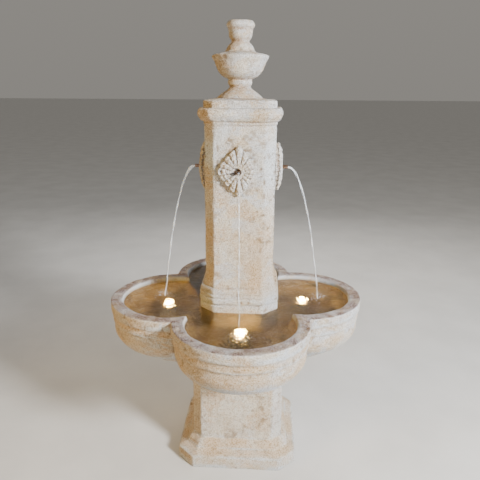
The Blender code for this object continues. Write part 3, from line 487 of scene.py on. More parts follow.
def dry_stone(n, base, pale, ochre, white, sandy, lit_patch_share, edge, hollow_shade):
    """The body's mottling, stains and wear, with painted bluish light and painted ochre shade laid on it."""
    colour = n.mix(n.step(n.noise(8.0, 5.0, 0.64), 0.42, 0.58), base, pale)
    sand = n.times(n.step(n.noise(13.0, 4.0, 0.62, 0.6), 0.48, 0.60), sandy)
    colour = n.mix(sand, colour, SAND)
    # Random patches of painted bluish light
    patches = n.step(n.noise(9.0, 5.0, 0.70, 0.4, (1.0, 1.0, 1.5)), 0.48, 0.59)
    colour = n.mix(n.times(patches, lit_patch_share), colour, LIT_PATCH_BLUE)
    # Ochre staining in random patches, strongest in the hollows, where it is painted shade
    stain_and_shade = n.times(n.step(n.noise(20.0, 5.0, 0.65, 0.8), 0.36, 0.58), n.combine("ADD", hollow_shade, 0.06))
    colour = n.mix(n.times(stain_and_shade, ochre), colour, STAIN_AND_SHADE)
    drips = n.step(n.noise(28.0, 3.0, 0.5, 0.0, (1.0, 1.0, 0.14)), 0.56, 0.70)
    colour = n.mix(n.times(drips, 0.30), colour, DRIP)
    worn = n.times(n.step(n.noise(48.0, 4.0, 0.7), 0.38, 0.56), n.combine("ADD", edge, 0.05))
    colour = n.mix(n.times(worn, white), colour, WORN)
    scurf = n.times(n.step(n.noise(85.0, 4.0, 0.75), 0.55, 0.64), 0.60)
    colour = n.mix(scurf, colour, SCURF)
    # Painted light and shade: warm shade with some staining on the left, bluish light on the right, bands of
    # painted light, and ochre bands that are partly painted shade
    layers = (
        ("left_stain_and_shade", 0.82, LEFT_STAIN_SHADE_OCHRE), ("right_painted_light", 0.50, RIGHT_LIGHT_BLUE),
        ("ochre_and_shade_bands", 0.85, OCHRE_AND_SHADE), ("painted_light_bands", 0.95, PAINTED_LIGHT_BAND),
    )
    for mask, share, layer in layers:
        colour = n.mix(n.times(n.mask(mask), share), colour, layer)
    return colour


def rim_dirt(n, colour, rim):
    """Brown and mauve speckle on the basin's rim, and a limy line above the water."""
    dirt = n.mix(n.step(n.noise(190.0, 4.0, 0.80), 0.47, 0.57), RIM_DARK, RIM_LIGHT)
    dirt = n.mix(n.step(n.noise(16.0, 4.0), 0.42, 0.60, 0.0, 0.5), dirt, RIM_DIRT)
    colour = n.mix(n.times(n.mask("top"), rim), colour, dirt)
    return n.mix(n.mask("tide"), colour, TIDE)


def silt(n, colour):
    """Silt on the stone under the water, with pale streaky patches of painted caustic light."""
    layer = n.mix(n.step(n.noise(14.0, 5.0, 0.6), 0.38, 0.62), SILT_DARK, SILT_GOLD)
    # Painted caustic light
    layer = n.mix(n.step(n.noise(34.0, 4.0, 0.7, 1.2), 0.50, 0.60, 0.0, 0.75), layer, CAUSTIC_PALE)
    layer = n.mix(n.step(n.noise(9.0, 3.0, 0.6), 0.57, 0.66, 0.0, 0.85), layer, SILT_BLACK)
    return n.mix(n.mask("wet"), colour, layer)


def stone_material(name, base, pale, ochre, white, sandy, lit_patch_share, rim=0.0):
    """Cast stone: a cream body with random patches of painted bluish light, ochre staining with painted shade
    in the hollows, whitish worn edges, grit, and pits painted dark as shade.
    """
    n = Nodes(name)
    edge, hollow_shade, pits = n.mask("edge"), n.mask("hollow_shade"), n.mask("pits")
    colour = dry_stone(n, base, pale, ochre, white, sandy, lit_patch_share, edge, hollow_shade)
    grain = n.step(n.noise(250.0, 3.0, 0.7), 0.36, 0.56)
    colour = n.mix(0.44, colour, n.mix(grain, GRIT, WHITE))
    if rim:
        colour = rim_dirt(n, colour, rim)
    colour = silt(n, colour)
    # Pits and small holes painted darker: painted shade
    dark = n.combine("MAXIMUM", n.times(n.step(n.cells(150.0), 0.20, 0.08), 0.55), n.times(pits, 0.70))
    colour = n.mix(dark, colour, PIT_SHADE)
    coarse = n.bump(n.noise(120.0, 6.0, 0.75), 0.0210, 1.0)
    holes = n.bump(n.step(n.cells(150.0), 0.05, 0.22), 0.0016, 0.9, coarse)
    fine = n.bump(n.noise(360.0, 2.0, 0.6), 0.0036, 1.0, holes)
    return n.finish(colour, n.step(n.noise(60.0, 3.0), 0.3, 0.7, 0.80, 0.97), fine, Specular_IOR_Level=0.22)


def plain_material(name, dark, light, rough, scale, metallic=0.0, bump=0.0002, stretch=None, **values):
    """A moulded, drawn or turned material, with faint mottling, handling marks and a fine surface."""
    n = Nodes(name)
    marks = n.noise(scale, 4.0, 0.6, 0.0, stretch)
    colour = n.mix(n.step(marks, 0.34, 0.68), dark, light)
    wipe = n.noise(scale * 0.4, 3.0)
    roughness = n.step(wipe, 0.3, 0.7, rough - 0.06, rough + 0.08)
    fine = n.bump(n.noise(scale * 6, 3.0, 0.6, 0.0, stretch), bump, 0.5)
    return n.finish(colour, roughness, fine, Metallic=metallic, **values)


def copper_material():
    """Copper tube with brown oxide and a little green."""
    n = Nodes("scene_copper")
    body = n.mix(n.step(n.noise(160.0, 4.0, 0.6), 0.35, 0.65), (0.36, 0.200, 0.125), (0.56, 0.375, 0.270))
    green = n.step(n.noise(240.0, 4.0, 0.7, 0.5), 0.58, 0.68)
    colour = n.mix(n.times(green, 0.6), body, (0.16, 0.36, 0.30))
    metallic = n.step(green, 0.0, 1.0, 1.0, 0.25)
    roughness = n.step(green, 0.0, 1.0, 0.30, 0.75)
    return n.finish(colour, roughness, n.bump(n.noise(600.0, 3.0), 0.0002, 0.5), Metallic=metallic)


def glow_material(name, colour, strength, core):
    """A lamp's warm face, with a brighter pattern of emitters."""
    n = Nodes(name)
    spots = n.step(n.cells(core), 0.30, 0.10, 0.55, 1.0)
    red, green, blue = colour
    n.feed(n.shader.inputs["Emission Color"], n.mix(spots, (red, green * 0.8, blue * 0.6), colour))
    return n.finish((0.95, 0.85, 0.60), 0.15, Emission_Strength=strength)


def water_material():
    """Water a little clouded with silt, warm from the stone under it."""
    n = Nodes("scene_water")
    colour = n.mix(n.step(n.noise(11.0, 4.0, 0.6, 0.5), 0.36, 0.64), (0.94, 0.83, 0.62), (0.72, 0.58, 0.38))
    broad = n.bump(n.noise(32.0, 3.0, 0.55, 0.6), 0.0100, 0.9)
    ripple = n.bump(n.noise(110.0, 2.0, 0.5, 0.4), 0.0016, 0.7, broad)
    return n.finish(colour, 0.15, ripple, Transmission_Weight=1.0, IOR=WATER_IOR)


def stream_material():
    """Falling water with air in it, and a faint painted glow."""
    n = Nodes("scene_stream")
    froth = n.step(n.noise(190.0, 3.0, 0.6, 0.0, (1.0, 1.0, 0.35)), 0.4, 0.62)
    colour = n.mix(froth, (0.80, 0.88, 0.96), WHITE)
    ripple = n.bump(n.noise(260.0, 3.0, 0.6, 0.0, (1.0, 1.0, 0.4)), 0.0016, 0.9)
    # A faint painted glow on the falling water and its drops
    n.feed(n.shader.inputs["Emission Color"], (0.85, 0.93, 1.0))
    return n.finish(
        colour, 0.08, ripple, Transmission_Weight=0.65, IOR=WATER_IOR, Specular_IOR_Level=0.8,
        Emission_Strength=0.10,
    )


STONE = stone_material("scene_stone", CREAM, PALE, 0.9, 0.65, 0.55, 0.7)
BASIN_STONE = stone_material("scene_basin_stone", CREAM, PALE, 0.85, 0.75, 0.6, 0.85, rim=0.95)
PEDESTAL_STONE = stone_material("scene_pedestal_stone", (0.69, 0.52, 0.30), PALE, 0.75, 0.95, 0.55, 0.25)
ROSETTE_STONE = stone_material(
    "scene_rosette_stone", (0.72, 0.60, 0.40), (0.80, 0.75, 0.64), 1.0, 0.6, 0.15, 0.6,
)
WATER = water_material()
STREAM = stream_material()


# ---------------------------------------------------------------- stone pieces
def shaft(name, levels, hollow, shift, side_steps, corner_steps, step, material):
    """A hollow square piece with cut corners: its outside from the foot up, then its inside down."""
    outside = divide(levels, step, 0.0023)
    rings = [cut_square(half, corner, z, side_steps, corner_steps) for z, half, corner in outside]
    top, bottom = levels[-1], levels[0]
    across = divide([(0.0, top[1], top[2]), (0.0, *hollow)], step * 1.6)[1:]
    rings += [cut_square(half, corner, top[0], side_steps, corner_steps) for _, half, corner in across]
    inside = divide([(top[0], *hollow), (bottom[0], *hollow)], 0.03)[1:]
    rings += [cut_square(half, corner, z, side_steps, corner_steps) for z, half, corner in inside]
    across = divide([(0.0, *hollow), (0.0, bottom[1], bottom[2])], step * 1.6)[1:-1]
    rings += [cut_square(half, corner, bottom[0], side_steps, corner_steps) for _, half, corner in across]
    piece = loft(name, rings, material)
    piece.matrix_world = turned(shift)
    bpy.context.view_layer.update()
    return piece


def pedestal():
    """The hollow pedestal, with a notch for the mains lead at its rear."""
    piece = shaft(
        "pedestal_stone", PEDESTAL_LEVELS, PEDESTAL_HOLLOW, PEDESTAL_SHIFT, 52, 10, 0.0050, PEDESTAL_STONE,
    )
    width, height = NOTCHES["pedestal"]
    cut(piece, [box_mesh((-width / 2, 0.112, -0.01), (width / 2, 0.26, height))])
    points, _ = weather(piece, 11, "pedestal", flats=(PEDESTAL_FOOT, PEDESTAL_TOP))
    height = points[:, 2]
    uneven = np.clip(0.5 + 1.0 * noise(points, 0.05, 17), 0, 1)
    # Bands of painted bluish light at the foot and along the upper edges of the mouldings
    painted_light_bands = np.exp(-((height - 0.006) / 0.011) ** 2)
    for z in (0.0465, 0.0655, 0.0985):
        painted_light_bands += 0.8 * np.exp(-((height - z) / 0.0028) ** 2)
    write_mask(piece.data, "painted_light_bands", np.clip(painted_light_bands * uneven, 0, 1))
    # Ochre on the sloped moulding
    slope = np.clip((height - 0.046) / 0.006, 0, 1) * np.clip((0.100 - height) / 0.006, 0, 1)
    write_mask(piece.data, "ochre_and_shade_bands", np.clip(0.9 * slope * (1.3 - uneven), 0, 1))
    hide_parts("pedestal")
    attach(piece, "root")


def column():
    """The hollow column, with a notch in each side of its foot, and bores for the spouts."""
    piece = shaft("column_stone", COLUMN_LEVELS, COLUMN_HOLLOW, COLUMN_SHIFT, 40, 9, 0.0048, STONE)
    width, notch_top = NOTCHES["column"]
    openings = (
        (width / 2, COLUMN_FOOT - 0.02, notch_top),
        (SPOUT_BORE, SPOUT_HEIGHT - SPOUT_BORE, SPOUT_HEIGHT + SPOUT_BORE),
    )
    tools = []
    for half, low, high in openings:
        tools.append(box_mesh((-CUTTER_REACH, -half, low), (CUTTER_REACH, half, high)))
        tools.append(box_mesh((-half, -CUTTER_REACH, low), (half, CUTTER_REACH, high)))
    cut(piece, tools)
    points, _ = weather(piece, 23, "column", flats=(COLUMN_FOOT, COLUMN_TOP))
    height = points[:, 2]
    uneven = np.clip(0.55 + 0.9 * noise(points * np.array([1.0, 1.0, 0.7]), 0.06, 27), 0, 1)
    # Painted bluish light on the upper shaft and on the foot mouldings
    painted_light_bands = np.clip((height - 1.00) / 0.12, 0, 1) * np.clip((1.31 - height) / 0.03, 0, 1)
    painted_light_bands += 0.8 * np.exp(-((height - 0.650) / 0.045) ** 2)
    write_mask(piece.data, "painted_light_bands", np.clip(0.9 * painted_light_bands * uneven, 0, 1))
    write_mask(piece.data, "wet", 0.85 * np.clip((0.6200 - height) / 0.004, 0, 1))
    lower = np.clip((1.02 - height) / 0.10, 0, 1) * np.clip((height - 0.66) / 0.04, 0, 1)
    # A golden tone on the right of the lower shaft, and painted shade under the cornice on the left
    golden = np.clip((points[:, 0] + 0.03) / 0.07, 0, 1) * lower
    cornice_shade = np.clip((height - 1.285) / 0.02, 0, 1) * np.clip((-points[:, 0] - 0.07) / 0.05, 0, 1)
    write_mask(piece.data, "ochre_and_shade_bands", np.clip((golden + 1.2 * cornice_shade) * (1.35 - uneven), 0, 1))
    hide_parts("column")
    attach(piece, "root")


def lobe_ring(radius, z, steps):
    """The basin's four-lobed outline, for lobes of one radius."""
    reach = math.pi / 4 + math.asin(LOBE_CENTRE / (math.sqrt(2) * radius))
    angles = reach * (2 * np.arange(steps) / steps - 1)
    lobe = np.stack([LOBE_CENTRE + radius * np.cos(angles), radius * np.sin(angles)], 1)
    ring = []
    for side in range(4):
        c, s = math.cos(side * math.pi / 2), math.sin(side * math.pi / 2)
        ring.append(lobe @ np.array([[c, s], [-s, c]]))
    ring = np.concatenate(ring)
    return np.column_stack([ring, np.full(len(ring), z)])


def foot_ring(z, steps):
    """The basin's foot on the pedestal, with as many points as a lobed outline."""
    half, corner = BASIN_FOOT
    angles = math.pi / 4 * (2 * np.arange(4 * steps) / steps - 1)
    c, s = np.abs(np.cos(angles)), np.abs(np.sin(angles))
    radius = np.minimum(half / np.maximum(c, s), (2 * half - corner) / (c + s))
    return np.column_stack([radius * np.cos(angles), radius * np.sin(angles), np.full(len(angles), z)])


def mixed(first, second, share, z):
    """A ring part of the way from one outline to another."""
    ring = first + (second - first) * share
    ring[:, 2] = z
    return ring


def basin_inside(steps):
    """Rings down the basin's inner side and across to near its middle."""
    rings = [lobe_ring(radius, z, steps) for z, radius in divide(BASIN_INSIDE, 0.0080)]
    dish_top, dish_radius = BASIN_INSIDE[-1]
    inner = lobe_ring(dish_radius, 0.0, steps)
    shares = divide([(dish_top, 1.0), *BASIN_DISH], 0.012)[1:]
    rings += [mixed(0.0 * inner, inner, share, z) for z, share in shares]
    return rings


def basin_rings(steps):
    """Rings from the bulkhead's hole out under the basin, up its side, over the rim and back to the hole."""
    top, radius = BOWL_TOP
    foot = foot_ring(BASIN_BOTTOM, steps)
    smallest = LOBE_CENTRE / math.sqrt(2) * 1.03
    last = lobe_ring(smallest, 0.0, steps)
    x, y, hole = BULKHEAD
    angles = math.pi / 4 * (2 * np.arange(4 * steps) / steps - 1)
    circle = np.column_stack([x + hole * np.cos(angles), y + hole * np.sin(angles), 0 * angles])
    rings = [mixed(circle, foot, share, BASIN_BOTTOM) for share in np.linspace(0, 1, 10)]
    for turn in np.radians(np.linspace(88.0, 0.0, 46)):
        lobe = radius * math.cos(turn)
        z = top - BOWL_DEPTH * math.sin(turn)
        if lobe > smallest:
            rings.append(lobe_ring(lobe, z, steps))
        else:
            share = (smallest - lobe) / (LOBE_CENTRE + smallest - BASIN_FOOT[0])
            rings.append(mixed(last, foot, share, z))
    rings += [lobe_ring(r, z, steps) for z, r in divide([(top, radius), *BASIN_BANDS], 0.0058, 0.0031)[1:]]
    rim = divide([(RIM_TOP, BASIN_BANDS[-1][1]), (RIM_TOP, BASIN_INSIDE[0][1])], 0.0055)[1:-1]
    rings += [lobe_ring(r, z, steps) for z, r in rim]
    rings += basin_inside(steps)
    dish = rings[-1].copy()
    rings += [mixed(dish, circle, share, BASIN_FLOOR) for share in np.linspace(0, 1, 12)[1:]]
    return rings


def basin_masks(mesh, points, normals):
    """Where the basin's rim is dirty, where its bands take painted bluish light and painted ochre shade, and
    where its inside is wet or limed.
    """
    height = points[:, 2]
    patchy = 0.75 + 0.5 * noise(points, 0.02, 41)
    top = np.clip((normals[:, 2] - 0.45) / 0.35, 0, 1) * np.clip((height - 0.626) / 0.006, 0, 1)
    write_mask(mesh, "top", np.clip(top * patchy, 0, 1))
    uneven = np.clip(0.55 + 0.9 * noise(points * np.array([1.0, 1.0, 2.0]), 0.06, 47), 0, 1)
    # Bands of painted bluish light, weaker on faces turned to the left
    shade = 1.0 - np.clip(-1.4 * normals[:, 0] - 0.15, 0, 1)
    painted_light_bands = np.exp(-((height - 0.608) / 0.008) ** 2) + 0.8 * np.exp(-((height - 0.5665) / 0.0035) ** 2)
    painted_light_bands += 0.9 * np.exp(-((height - 0.460) / 0.026) ** 2)
    write_mask(mesh, "painted_light_bands", np.clip(painted_light_bands * uneven * shade, 0, 1))
    # Ochre painted shade in the recessed band and under the steps at the bowl's top
    ochre_and_shade_bands = np.exp(-((height - 0.584) / 0.010) ** 2) + np.exp(-((height - 0.530) / 0.022) ** 2)
    write_mask(mesh, "ochre_and_shade_bands", np.clip(ochre_and_shade_bands * (1.2 - uneven), 0, 1))

    # The inside faces up or towards the middle, or lies within a lobe's inner outline
    to_axis = -(points[:, 0] * normals[:, 0] + points[:, 1] * normals[:, 1])
    farther = np.maximum(np.abs(points[:, 0]), np.abs(points[:, 1]))
    nearer = np.minimum(np.abs(points[:, 0]), np.abs(points[:, 1]))
    inside = (normals[:, 2] > 0.5) & (height < 0.6) | (to_axis > 0) & (farther - LOBE_CENTRE > -0.1)
    inside |= (height > 0.474) & (np.hypot(farther - LOBE_CENTRE, nearer) < 0.2015)
    write_mask(mesh, "wet", np.where(inside, np.clip((0.6215 - height) / 0.004, 0, 1), 0.0))
    tide = np.clip((height - 0.617) / 0.004, 0, 1) * np.clip((0.637 - height) / 0.003, 0, 1)
    tide = np.where(inside, tide, 0.0)
    write_mask(mesh, "tide", 0.9 * tide * np.clip(0.7 + noise(points, 0.05, 43), 0, 1))


def basin():
    """The four-lobed basin, with the bulkhead's hole through its floor."""
    piece = loft("basin_stone", basin_rings(BASIN_STEPS), BASIN_STONE)
    points, normals = weather(piece, 37, "basin", flats=(BASIN_BOTTOM, BASIN_FLOOR))
    basin_masks(piece.data, points, normals)
    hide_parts("basin")
    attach(piece, "root")


def finial():
    """The cap and urn, one casting that lies loose on the column."""
    count = 208
    angles = 2 * math.pi * np.arange(count) / count
    c, s = np.cos(angles), np.sin(angles)

    def square(half, z):
        across, along = np.abs(c), np.abs(s)
        corner = CAP_CUT * half / CAP_HALF
        radius = np.minimum(half / np.maximum(across, along), (2 * half - corner) / (across + along))
        return np.column_stack([radius * c, radius * s, np.full(count, z)])

    def circle(radius, z):
        return np.column_stack([URN_OFFSET + radius * c, radius * s, np.full(count, z)])

    rings = [square(half, CAP_BOTTOM) for half in np.linspace(0.01, CAP_HALF, 16)]
    rings += [square(CAP_HALF, z) for z in np.linspace(CAP_BOTTOM, 1.3735, 7)[1:]]
    rings += [square(CAP_HALF - inset, z) for inset, z in CAP_ROUNDING]
    shoulder = square(CAP_HALF - 0.0120, 0.0)
    foot = circle(URN_PROFILE[0][0] + 0.002, 0.0)
    rings += [mixed(shoulder, foot, t, 1.3803 + 0.0032 * t ** 2) for t in np.linspace(0, 1, 8)]
    rings += [circle(radius, z) for radius, z in divide(URN_PROFILE, 0.0036)]
    piece = loft("finial_stone", rings, STONE, ring_closed=False)
    piece.matrix_world = turned(FINIAL_SHIFT)
    bpy.context.view_layer.update()
    weather(piece, 53, "finial", wear=0.55, level=0.0006, flats=(CAP_BOTTOM,))
    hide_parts("finial")
    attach(piece, "finial")


def rosette_relief(angles, reach, leaf, across, up, width, eye):
    """How far a ring of the rosette stands out: dome, leaves, ribs, rolls, eye and the curl at its left."""
    brink = 0.30 + 0.24 * np.abs(np.cos(angles))
    dome = brink + (1.0 - brink) * np.sqrt(np.clip(1.0 - reach ** 2.6, 0, 1))
    height = ROSETTE_RISE * 1.12 * dome
    deep = np.clip((reach - 0.22) / 0.22, 0, 1)
    height -= (0.0085 * (1 - leaf ** 0.42) + 0.0012) * deep
    rib = np.exp(-((np.mod(angles * 16 / (2 * math.pi) + 0.5, 1.0) - 0.5) / 0.09) ** 2)
    height -= 0.0014 * rib * deep
    height -= 0.0022 * np.exp(-((reach - 0.50) / 0.035) ** 2) * (1 - 0.5 * leaf)
    inner = np.exp(-((reach - 0.36) / 0.09) ** 2)
    height += 0.0030 * inner * np.cos(8 * angles + 0.3)
    height += 0.0015 * np.cos(2 * math.pi * reach / 0.245) * np.clip((reach - 0.2) / 0.1, 0, 1)
    away = np.hypot(across - eye[0], (up - eye[1]) * 1.1)
    height -= 0.021 * np.exp(-(away / 0.0140) ** 4)
    curl = np.hypot(across + width * 0.80, up)
    left = np.cos(angles) < 0
    height += np.where(left, 0.0050 * np.exp(-((curl - 0.0100) / 0.0030) ** 2), 0.0)
    height -= np.where(left, 0.0075 * np.exp(-(curl / 0.0060) ** 2), 0.0)
    return np.clip(height, 0.003, ROSETTE_RISE)


def rosette(side, number):
    """A lozenge of leaves around the spout, with scalloped, undercut edges and a curl at its left."""
    count, depth = 288, 52
    angles = 2 * math.pi * np.arange(count) / count
    lead = ROSETTE_LEADS[side]
    width = np.where(np.cos(angles) < 0, ROSETTE_HALF_WIDTH - lead, ROSETTE_HALF_WIDTH + lead)
    outline = np.abs(np.cos(angles) / width) ** 1.2 + np.abs(np.sin(angles) / ROSETTE_HALF_HEIGHT) ** 1.2
    outline = outline ** (-1 / 1.2)
    leaf = np.abs(np.cos(8 * angles))
    outline *= 0.925 + 0.075 * leaf ** 0.5
    hole = SPOUT_BORE
    eye = np.array([0.80 * lead, -0.0010])
    rings = [np.column_stack([np.zeros(count), outline * np.cos(angles), outline * np.sin(angles)])]
    shares = np.concatenate([np.full(6, 1.0), np.linspace(1.0, 0.0, depth)])
    rises = np.concatenate([np.linspace(0.0, 1.0, 6), np.full(depth, 1.0)])
    for share, rise in zip(shares, rises):
        tuck = 0.0035 * math.sin(math.pi * rise) if share == 1.0 else 0.0
        radius = hole + (outline - hole - tuck) * share
        y, z = radius * np.cos(angles), radius * np.sin(angles)
        relief = rosette_relief(angles, radius / outline, leaf, y, z, width, eye)
        rings.append(np.column_stack([relief * rise, y, z]))
    rings.append(np.column_stack([np.zeros(count), hole * np.cos(angles), hole * np.sin(angles)]))
    piece = loft("rosette_stone_" + side, rings, ROSETTE_STONE)
    place = turned(COLUMN_SHIFT) @ Matrix.Rotation(math.radians(SIDES[side]), 4, "Z")
    piece.matrix_world = place @ Matrix.Translation((ROSETTE_FACE - 0.0018, 0.0, SPOUT_HEIGHT))
    bpy.context.view_layer.update()
    weather(piece, 61 + 10 * number, "rosette_" + side, rounding=1, wear=0.40, level=0.0, spare=0.006)
    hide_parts("rosette_" + side)
    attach(piece, "root")


# ---------------------------------------------------------------- water
def stream_line(side, count=90):
    """The falling water's middle line, from inside the spout to just under the pool's surface."""
    place = turned(COLUMN_SHIFT) @ Matrix.Rotation(math.radians(SIDES[side]), 4, "Z")
    drop = SPOUT_HEIGHT - WATER_LEVEL + 0.004
    end = math.sqrt(2 * drop / GRAVITY)
    times = end * np.linspace(0.0, 1.0, count) ** 0.72
    line = [place @ Vector((SPOUT_TIP - 0.012, 0.0, SPOUT_HEIGHT - 0.0012))]
    aim = math.radians(STREAM_AIMS[side])
    for t in times:
        away = STREAM_SPEEDS[side] * t
        fall = SPOUT_HEIGHT - 0.0012 - GRAVITY * t * t / 2
        line.append(place @ Vector((SPOUT_TIP + away * math.cos(aim), away * math.sin(aim), fall)))
    return [np.array(point) for point in line]


def stream(side, number):
    """One falling stream: a twisting thread that thins as it speeds up, and loosens near the pool."""
    line = np.array(stream_line(side))
    count = len(line)
    along = np.concatenate([[0.0], np.cumsum(np.linalg.norm(np.diff(line, axis=0), axis=1))])
    tangent = np.gradient(line, axis=0)
    tangent /= np.linalg.norm(tangent, axis=1)[:, None]
    outward = line[-1] - line[0]
    outward[2] = 0.0
    outward /= np.linalg.norm(outward)
    sideways = np.cross(np.array([0.0, 0.0, 1.0]), outward)
    third = np.cross(tangent, sideways)
    share = along / along[-1]
    wander = np.column_stack([along, np.full(count, number * 7.3), np.zeros(count)])
    sway = 0.0022 * share[:, None] * np.stack([noise(wander, 0.06, 71), noise(wander, 0.05, 72)], 1)
    sway += 0.0010 * share[:, None] * np.stack([noise(wander, 0.017, 75), noise(wander, 0.015, 76)], 1)
    line = line + sway[:, :1] * sideways + sway[:, 1:] * third
    radius = STREAM_SIZES[side] / (1 + 2.6 * share) ** 0.6
    radius = radius * (1 + 0.30 * noise(wander, 0.030, 73) + (0.15 + 0.35 * share) * noise(wander, 0.011, 74))
    radius[0:2] = 0.0030
    radius[-1] = 0.0008
    rings = []
    steps = 14
    for i in range(count):
        twist = along[i] * 42.0
        ring = []
        for j in range(steps):
            angle = 2 * math.pi * j / steps
            flat = 1.0 + 0.38 * math.cos(2 * (angle - twist))
            r = radius[i] * flat
            ring.append(line[i] + r * (math.cos(angle) * sideways + math.sin(angle) * third[i]))
        rings.append(ring)
    piece = loft("stream_" + side, rings, STREAM, ring_closed=False)
    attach(piece, "root")
    return line[-1]


def icosahedron():
    """The corners of a unit icosahedron, and its faces seen from outside."""
    golden = (1 + 5 ** 0.5) / 2
    corners = []
    for a in (-1, 1):
        for b in (-golden, golden):
            corners += [(0, a, b), (a, b, 0), (b, 0, a)]
    corners = np.array(corners, float)
    corners /= np.linalg.norm(corners[0])
    faces = []
    for i, j, k in combinations(range(len(corners)), 3):
        first, second, third = corners[i], corners[j], corners[k]
        if max(np.linalg.norm(p - q) for p, q in ((first, second), (second, third), (first, third))) < 1.1:
            normal = np.cross(second - first, third - first)
            faces.append((i, j, k) if normal @ first > 0 else (i, k, j))
    return corners, faces


def drops(landings):
    """Drops thrown up where the streams land."""
    random = np.random.default_rng(5)
    points, faces = [], []
    ball, hull = icosahedron()
    for landing in landings:
        for _ in range(60):
            angle = random.uniform(0, 2 * math.pi)
            reach = abs(random.normal(0.0, 0.020)) + 0.004
            size = random.uniform(0.0007, 0.0021)
            height = WATER_LEVEL + 0.004 + abs(random.normal(0.0, 0.012)) * math.exp(-reach / 0.05)
            centre = np.array([
                landing[0] + reach * math.cos(angle), landing[1] + reach * math.sin(angle), height,
            ])
            start = len(points)
            points += (centre + size * ball * np.array([1.0, 1.0, 1.25])).tolist()
            faces += [tuple(start + p for p in order) for order in hull]
    piece = new_piece("splash_drops", np.array(points), faces, STREAM)
    smooth = piece.modifiers.new("round", "SUBSURF")
    smooth.levels = smooth.render_levels = 1
    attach(piece, "root")


def pool(landings):
    """The water in the basin: a rippled surface, with its sides and underside just within the stone."""
    count, rows = 840, 104
    grow = 0.0026
    dish_top = BASIN_INSIDE[-1][0]
    angles = 2 * math.pi * np.arange(count) / count
    folded = np.mod(angles + math.pi / 4, math.pi / 2) - math.pi / 4

    def lobed(radius, z):
        reach = LOBE_CENTRE * np.cos(folded) + np.sqrt(radius ** 2 - (LOBE_CENTRE * np.sin(folded)) ** 2)
        return np.column_stack([reach * np.cos(angles), reach * np.sin(angles), np.full(count, z)])

    def radius_at(z):
        profile = np.array(BASIN_INSIDE[::-1])
        return float(np.interp(z, profile[:, 0], profile[:, 1])) + grow

    edge = lobed(radius_at(WATER_LEVEL), WATER_LEVEL)
    rings = [edge * np.array([t, t, 1.0]) for t in np.linspace(0.004, 1.0, rows)]
    under = [lobed(radius_at(z), z) for z in (0.6100, 0.5900, 0.5600, 0.5350, dish_top)]
    dish = lobed(radius_at(dish_top), 0.0)
    for z, share in (*BASIN_DISH, (BASIN_FLOOR, 0.5), (BASIN_FLOOR, 0.004)):
        under.append(dish * np.array([share, share, 0.0]) + np.array([0, 0, z - grow * 0.5]))
    top = np.concatenate(rings)
    height = np.zeros(len(top))
    for number, (x, y) in enumerate(landings):
        away = np.hypot(top[:, 0] - x, top[:, 1] - y)
        height += 0.0021 * np.exp(-away / 0.050) * np.cos(2 * math.pi * away / 0.0165 + number)
        height -= 0.0030 * np.exp(-(away / 0.0055) ** 2)
        height += 0.0016 * np.exp(-((away - 0.0095) / 0.0040) ** 2)
    flat = top * np.array([1.0, 1.0, 0.0])
    height += 0.00055 * noise(flat, 0.034, 91) + 0.00028 * noise(flat, 0.012, 92)
    top[:, 2] += height
    piece = loft("pool_water", list(top.reshape(rows, count, 3)) + under, WATER, ring_closed=False)
    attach(piece, "root")


# ---------------------------------------------------------------- carried-over pieces
def finish_cad():
    """Materials for the pieces that stay as they are."""
    plain = {
        "black_plastic": ("scene_black", (0.018, 0.018, 0.020), (0.045, 0.045, 0.048), 0.46, 90.0),
        "grey_plastic": ("scene_grey", (0.15, 0.16, 0.17), (0.24, 0.25, 0.26), 0.44, 110.0),
        "magnet": ("scene_magnet", (0.05, 0.05, 0.055), (0.12, 0.12, 0.13), 0.55, 300.0),
        "ceramic_shaft": ("scene_ceramic", (0.78, 0.77, 0.73), (0.90, 0.89, 0.86), 0.24, 400.0),
        "rubber": ("scene_rubber", (0.022, 0.022, 0.022), (0.055, 0.053, 0.050), 0.78, 150.0),
        "lead_jacket": ("scene_lead", (0.025, 0.025, 0.027), (0.060, 0.058, 0.056), 0.52, 220.0),
        "stainless_steel": (
            "scene_steel", (0.46, 0.46, 0.45), (0.70, 0.70, 0.68), 0.30, 80.0, 1.0, 0.0001, (1.0, 1.0, 9.0),
        ),
    }
    materials = {slot: plain_material(*values) for slot, values in plain.items()}
    materials["copper"] = copper_material()
    materials["hose"] = plain_material(
        "scene_hose", (0.50, 0.56, 0.50), (0.70, 0.74, 0.69), 0.26, 60.0, Subsurface_Weight=0.2,
    )
    materials["lens"] = glow_material("scene_lens", (1.0, 0.58, 0.12), 2.2, 110.0)
    materials["led_board"] = glow_material("scene_led", (1.0, 0.72, 0.25), 4.0, 260.0)
    materials["cast_stone"] = STONE
    materials["rosette_stone"] = ROSETTE_STONE

    # The rear lamp is off
    unlit = {
        "lamp_lens_rear": ("scene_dark_lens", (0.42, 0.44, 0.42), (0.60, 0.61, 0.58), 0.12, 120.0),
        "lamp_led_rear": ("scene_dark_led", (0.50, 0.46, 0.20), (0.75, 0.72, 0.52), 0.40, 300.0),
    }
    dark = {name: plain_material(*values) for name, values in unlit.items()}
    slots = {part["node"]: part["material_slot"] for part in frame["record"]["subparts"]}
    for name, node in frame["nodes"].items():
        node.data.materials.clear()
        node.data.materials.append(dark.get(name, materials[slots[name]]))


